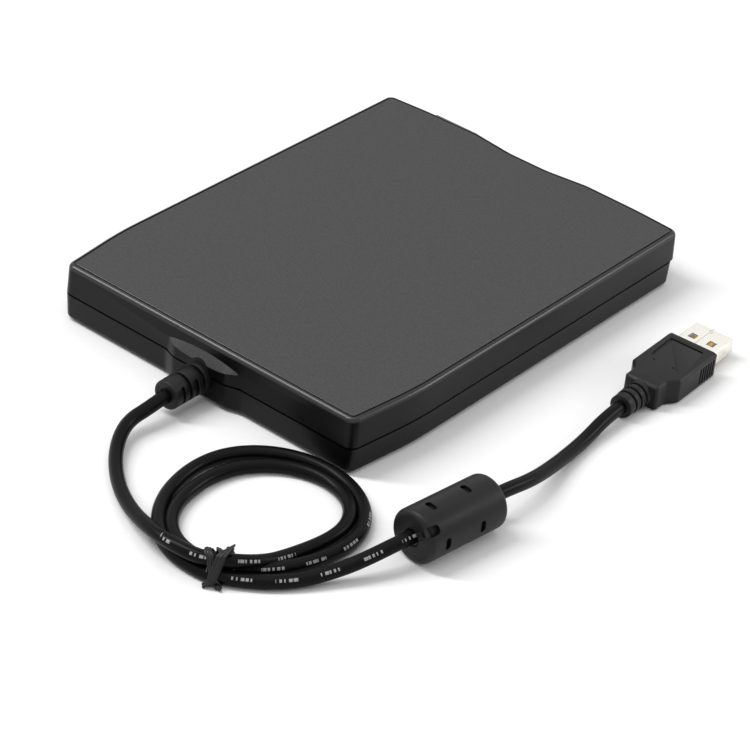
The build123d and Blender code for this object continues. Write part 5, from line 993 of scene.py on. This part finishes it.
def spring_sheets(x):
    """An eject spring at the given x: a helix x + r * cos a, y, z + r * sin a with a flat ring at each end."""
    share = np.linspace(0, 1, SPRING_TURNS * 18 + 1)
    around = 2 * np.pi * SPRING_TURNS * share
    reach = SPRING_R * np.minimum(1, np.minimum(share, 1 - share) * SPRING_TURNS * 2)
    run = SPRING_FIXED + SPRING_LOOP + (SPRING_FREE - SPRING_FIXED - 2 * SPRING_LOOP) * share
    coil = np.stack([x + reach * np.cos(around), run, SPRING_Z + reach * np.sin(around)], -1)
    sheets = [tube_along(coil, SPRING_WIRE, 10, up=(0.0, 1.0, 0.0))]
    angle = np.linspace(0, 2 * np.pi, 33)
    for end in (SPRING_FIXED + SPRING_R + SPRING_WIRE, SPRING_FREE - SPRING_R - SPRING_WIRE):
        ring = np.stack([x + SPRING_R * np.cos(angle), end + SPRING_R * np.sin(angle),
                         SPRING_Z + 0 * angle], -1)
        sheets.append(tube_along(ring[:-1], SPRING_WIRE, 10, closed=True))
    return sheets


class DRIVE_OT_works(bpy.types.Operator):
    """Finishes for the CAD pieces, rounded copies of moulded and pressed ones, and the eject springs"""
    bl_idname = "drive.works"
    bl_label = "Front and works"

    def execute(self, context):
        bodies = frame["record"]["behaviour"]["bodies"]
        home = {name: body for body, names in bodies.items() for name in names}
        for name, node in frame["nodes"].items():
            own = [m.name.split(".")[0] for m in node.data.materials]
            slot = next((s for s in own if s in MATERIALS), "case_plastic")
            node.data.materials.clear()
            node.data.materials.append(MATERIALS[slot])
            if name in SOFTENED:
                copy = softened(name + "_fine", name, SOFTENED[name])
                add_piece(name + "_fine", copy, slot, name, body=home[name])
        coils = surface("eject_coils", *spring_sheets(-SPRING_X), *spring_sheets(SPRING_X))
        springs = add_piece("eject_coils", smooth(coils), "spring_steel", "eject_springs")
        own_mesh(springs)
        return {"FINISHED"}


OPERATORS = (DRIVE_OT_stage, DRIVE_OT_works, DRIVE_OT_lead, DRIVE_OT_tie, DRIVE_OT_relief, DRIVE_OT_ferrite,
             DRIVE_OT_plug, DRIVE_OT_case)


class DRIVE_PT_sidebar(bpy.types.Panel):
    """Lists the pieces and the settings"""
    bl_idname = "DRIVE_PT_sidebar"
    bl_label = "Floppy drive"
    bl_space_type = "VIEW_3D"
    bl_region_type = "UI"
    bl_category = "Floppy drive"

    def draw(self, context):
        for key in DriveSettings.__annotations__:
            self.layout.prop(context.scene.drive_settings, key)
        for operator in OPERATORS:
            self.layout.operator(operator.bl_idname)


CLASSES = (DriveSettings, *OPERATORS, DRIVE_PT_sidebar)


def register():
    for item in CLASSES:
        bpy.utils.register_class(item)
    bpy.types.Scene.drive_settings = PointerProperty(type=DriveSettings)


def unregister():
    del bpy.types.Scene.drive_settings
    for item in reversed(CLASSES):
        bpy.utils.unregister_class(item)


def main():
    register()
    MATERIALS.update(make_materials())
    for operator in OPERATORS:
        group, name = operator.bl_idname.split(".")
        if getattr(getattr(bpy.ops, group), name)() != {"FINISHED"}:
            raise RuntimeError(operator.bl_label + " did not finish")


if __name__ == "__main__":
    main()
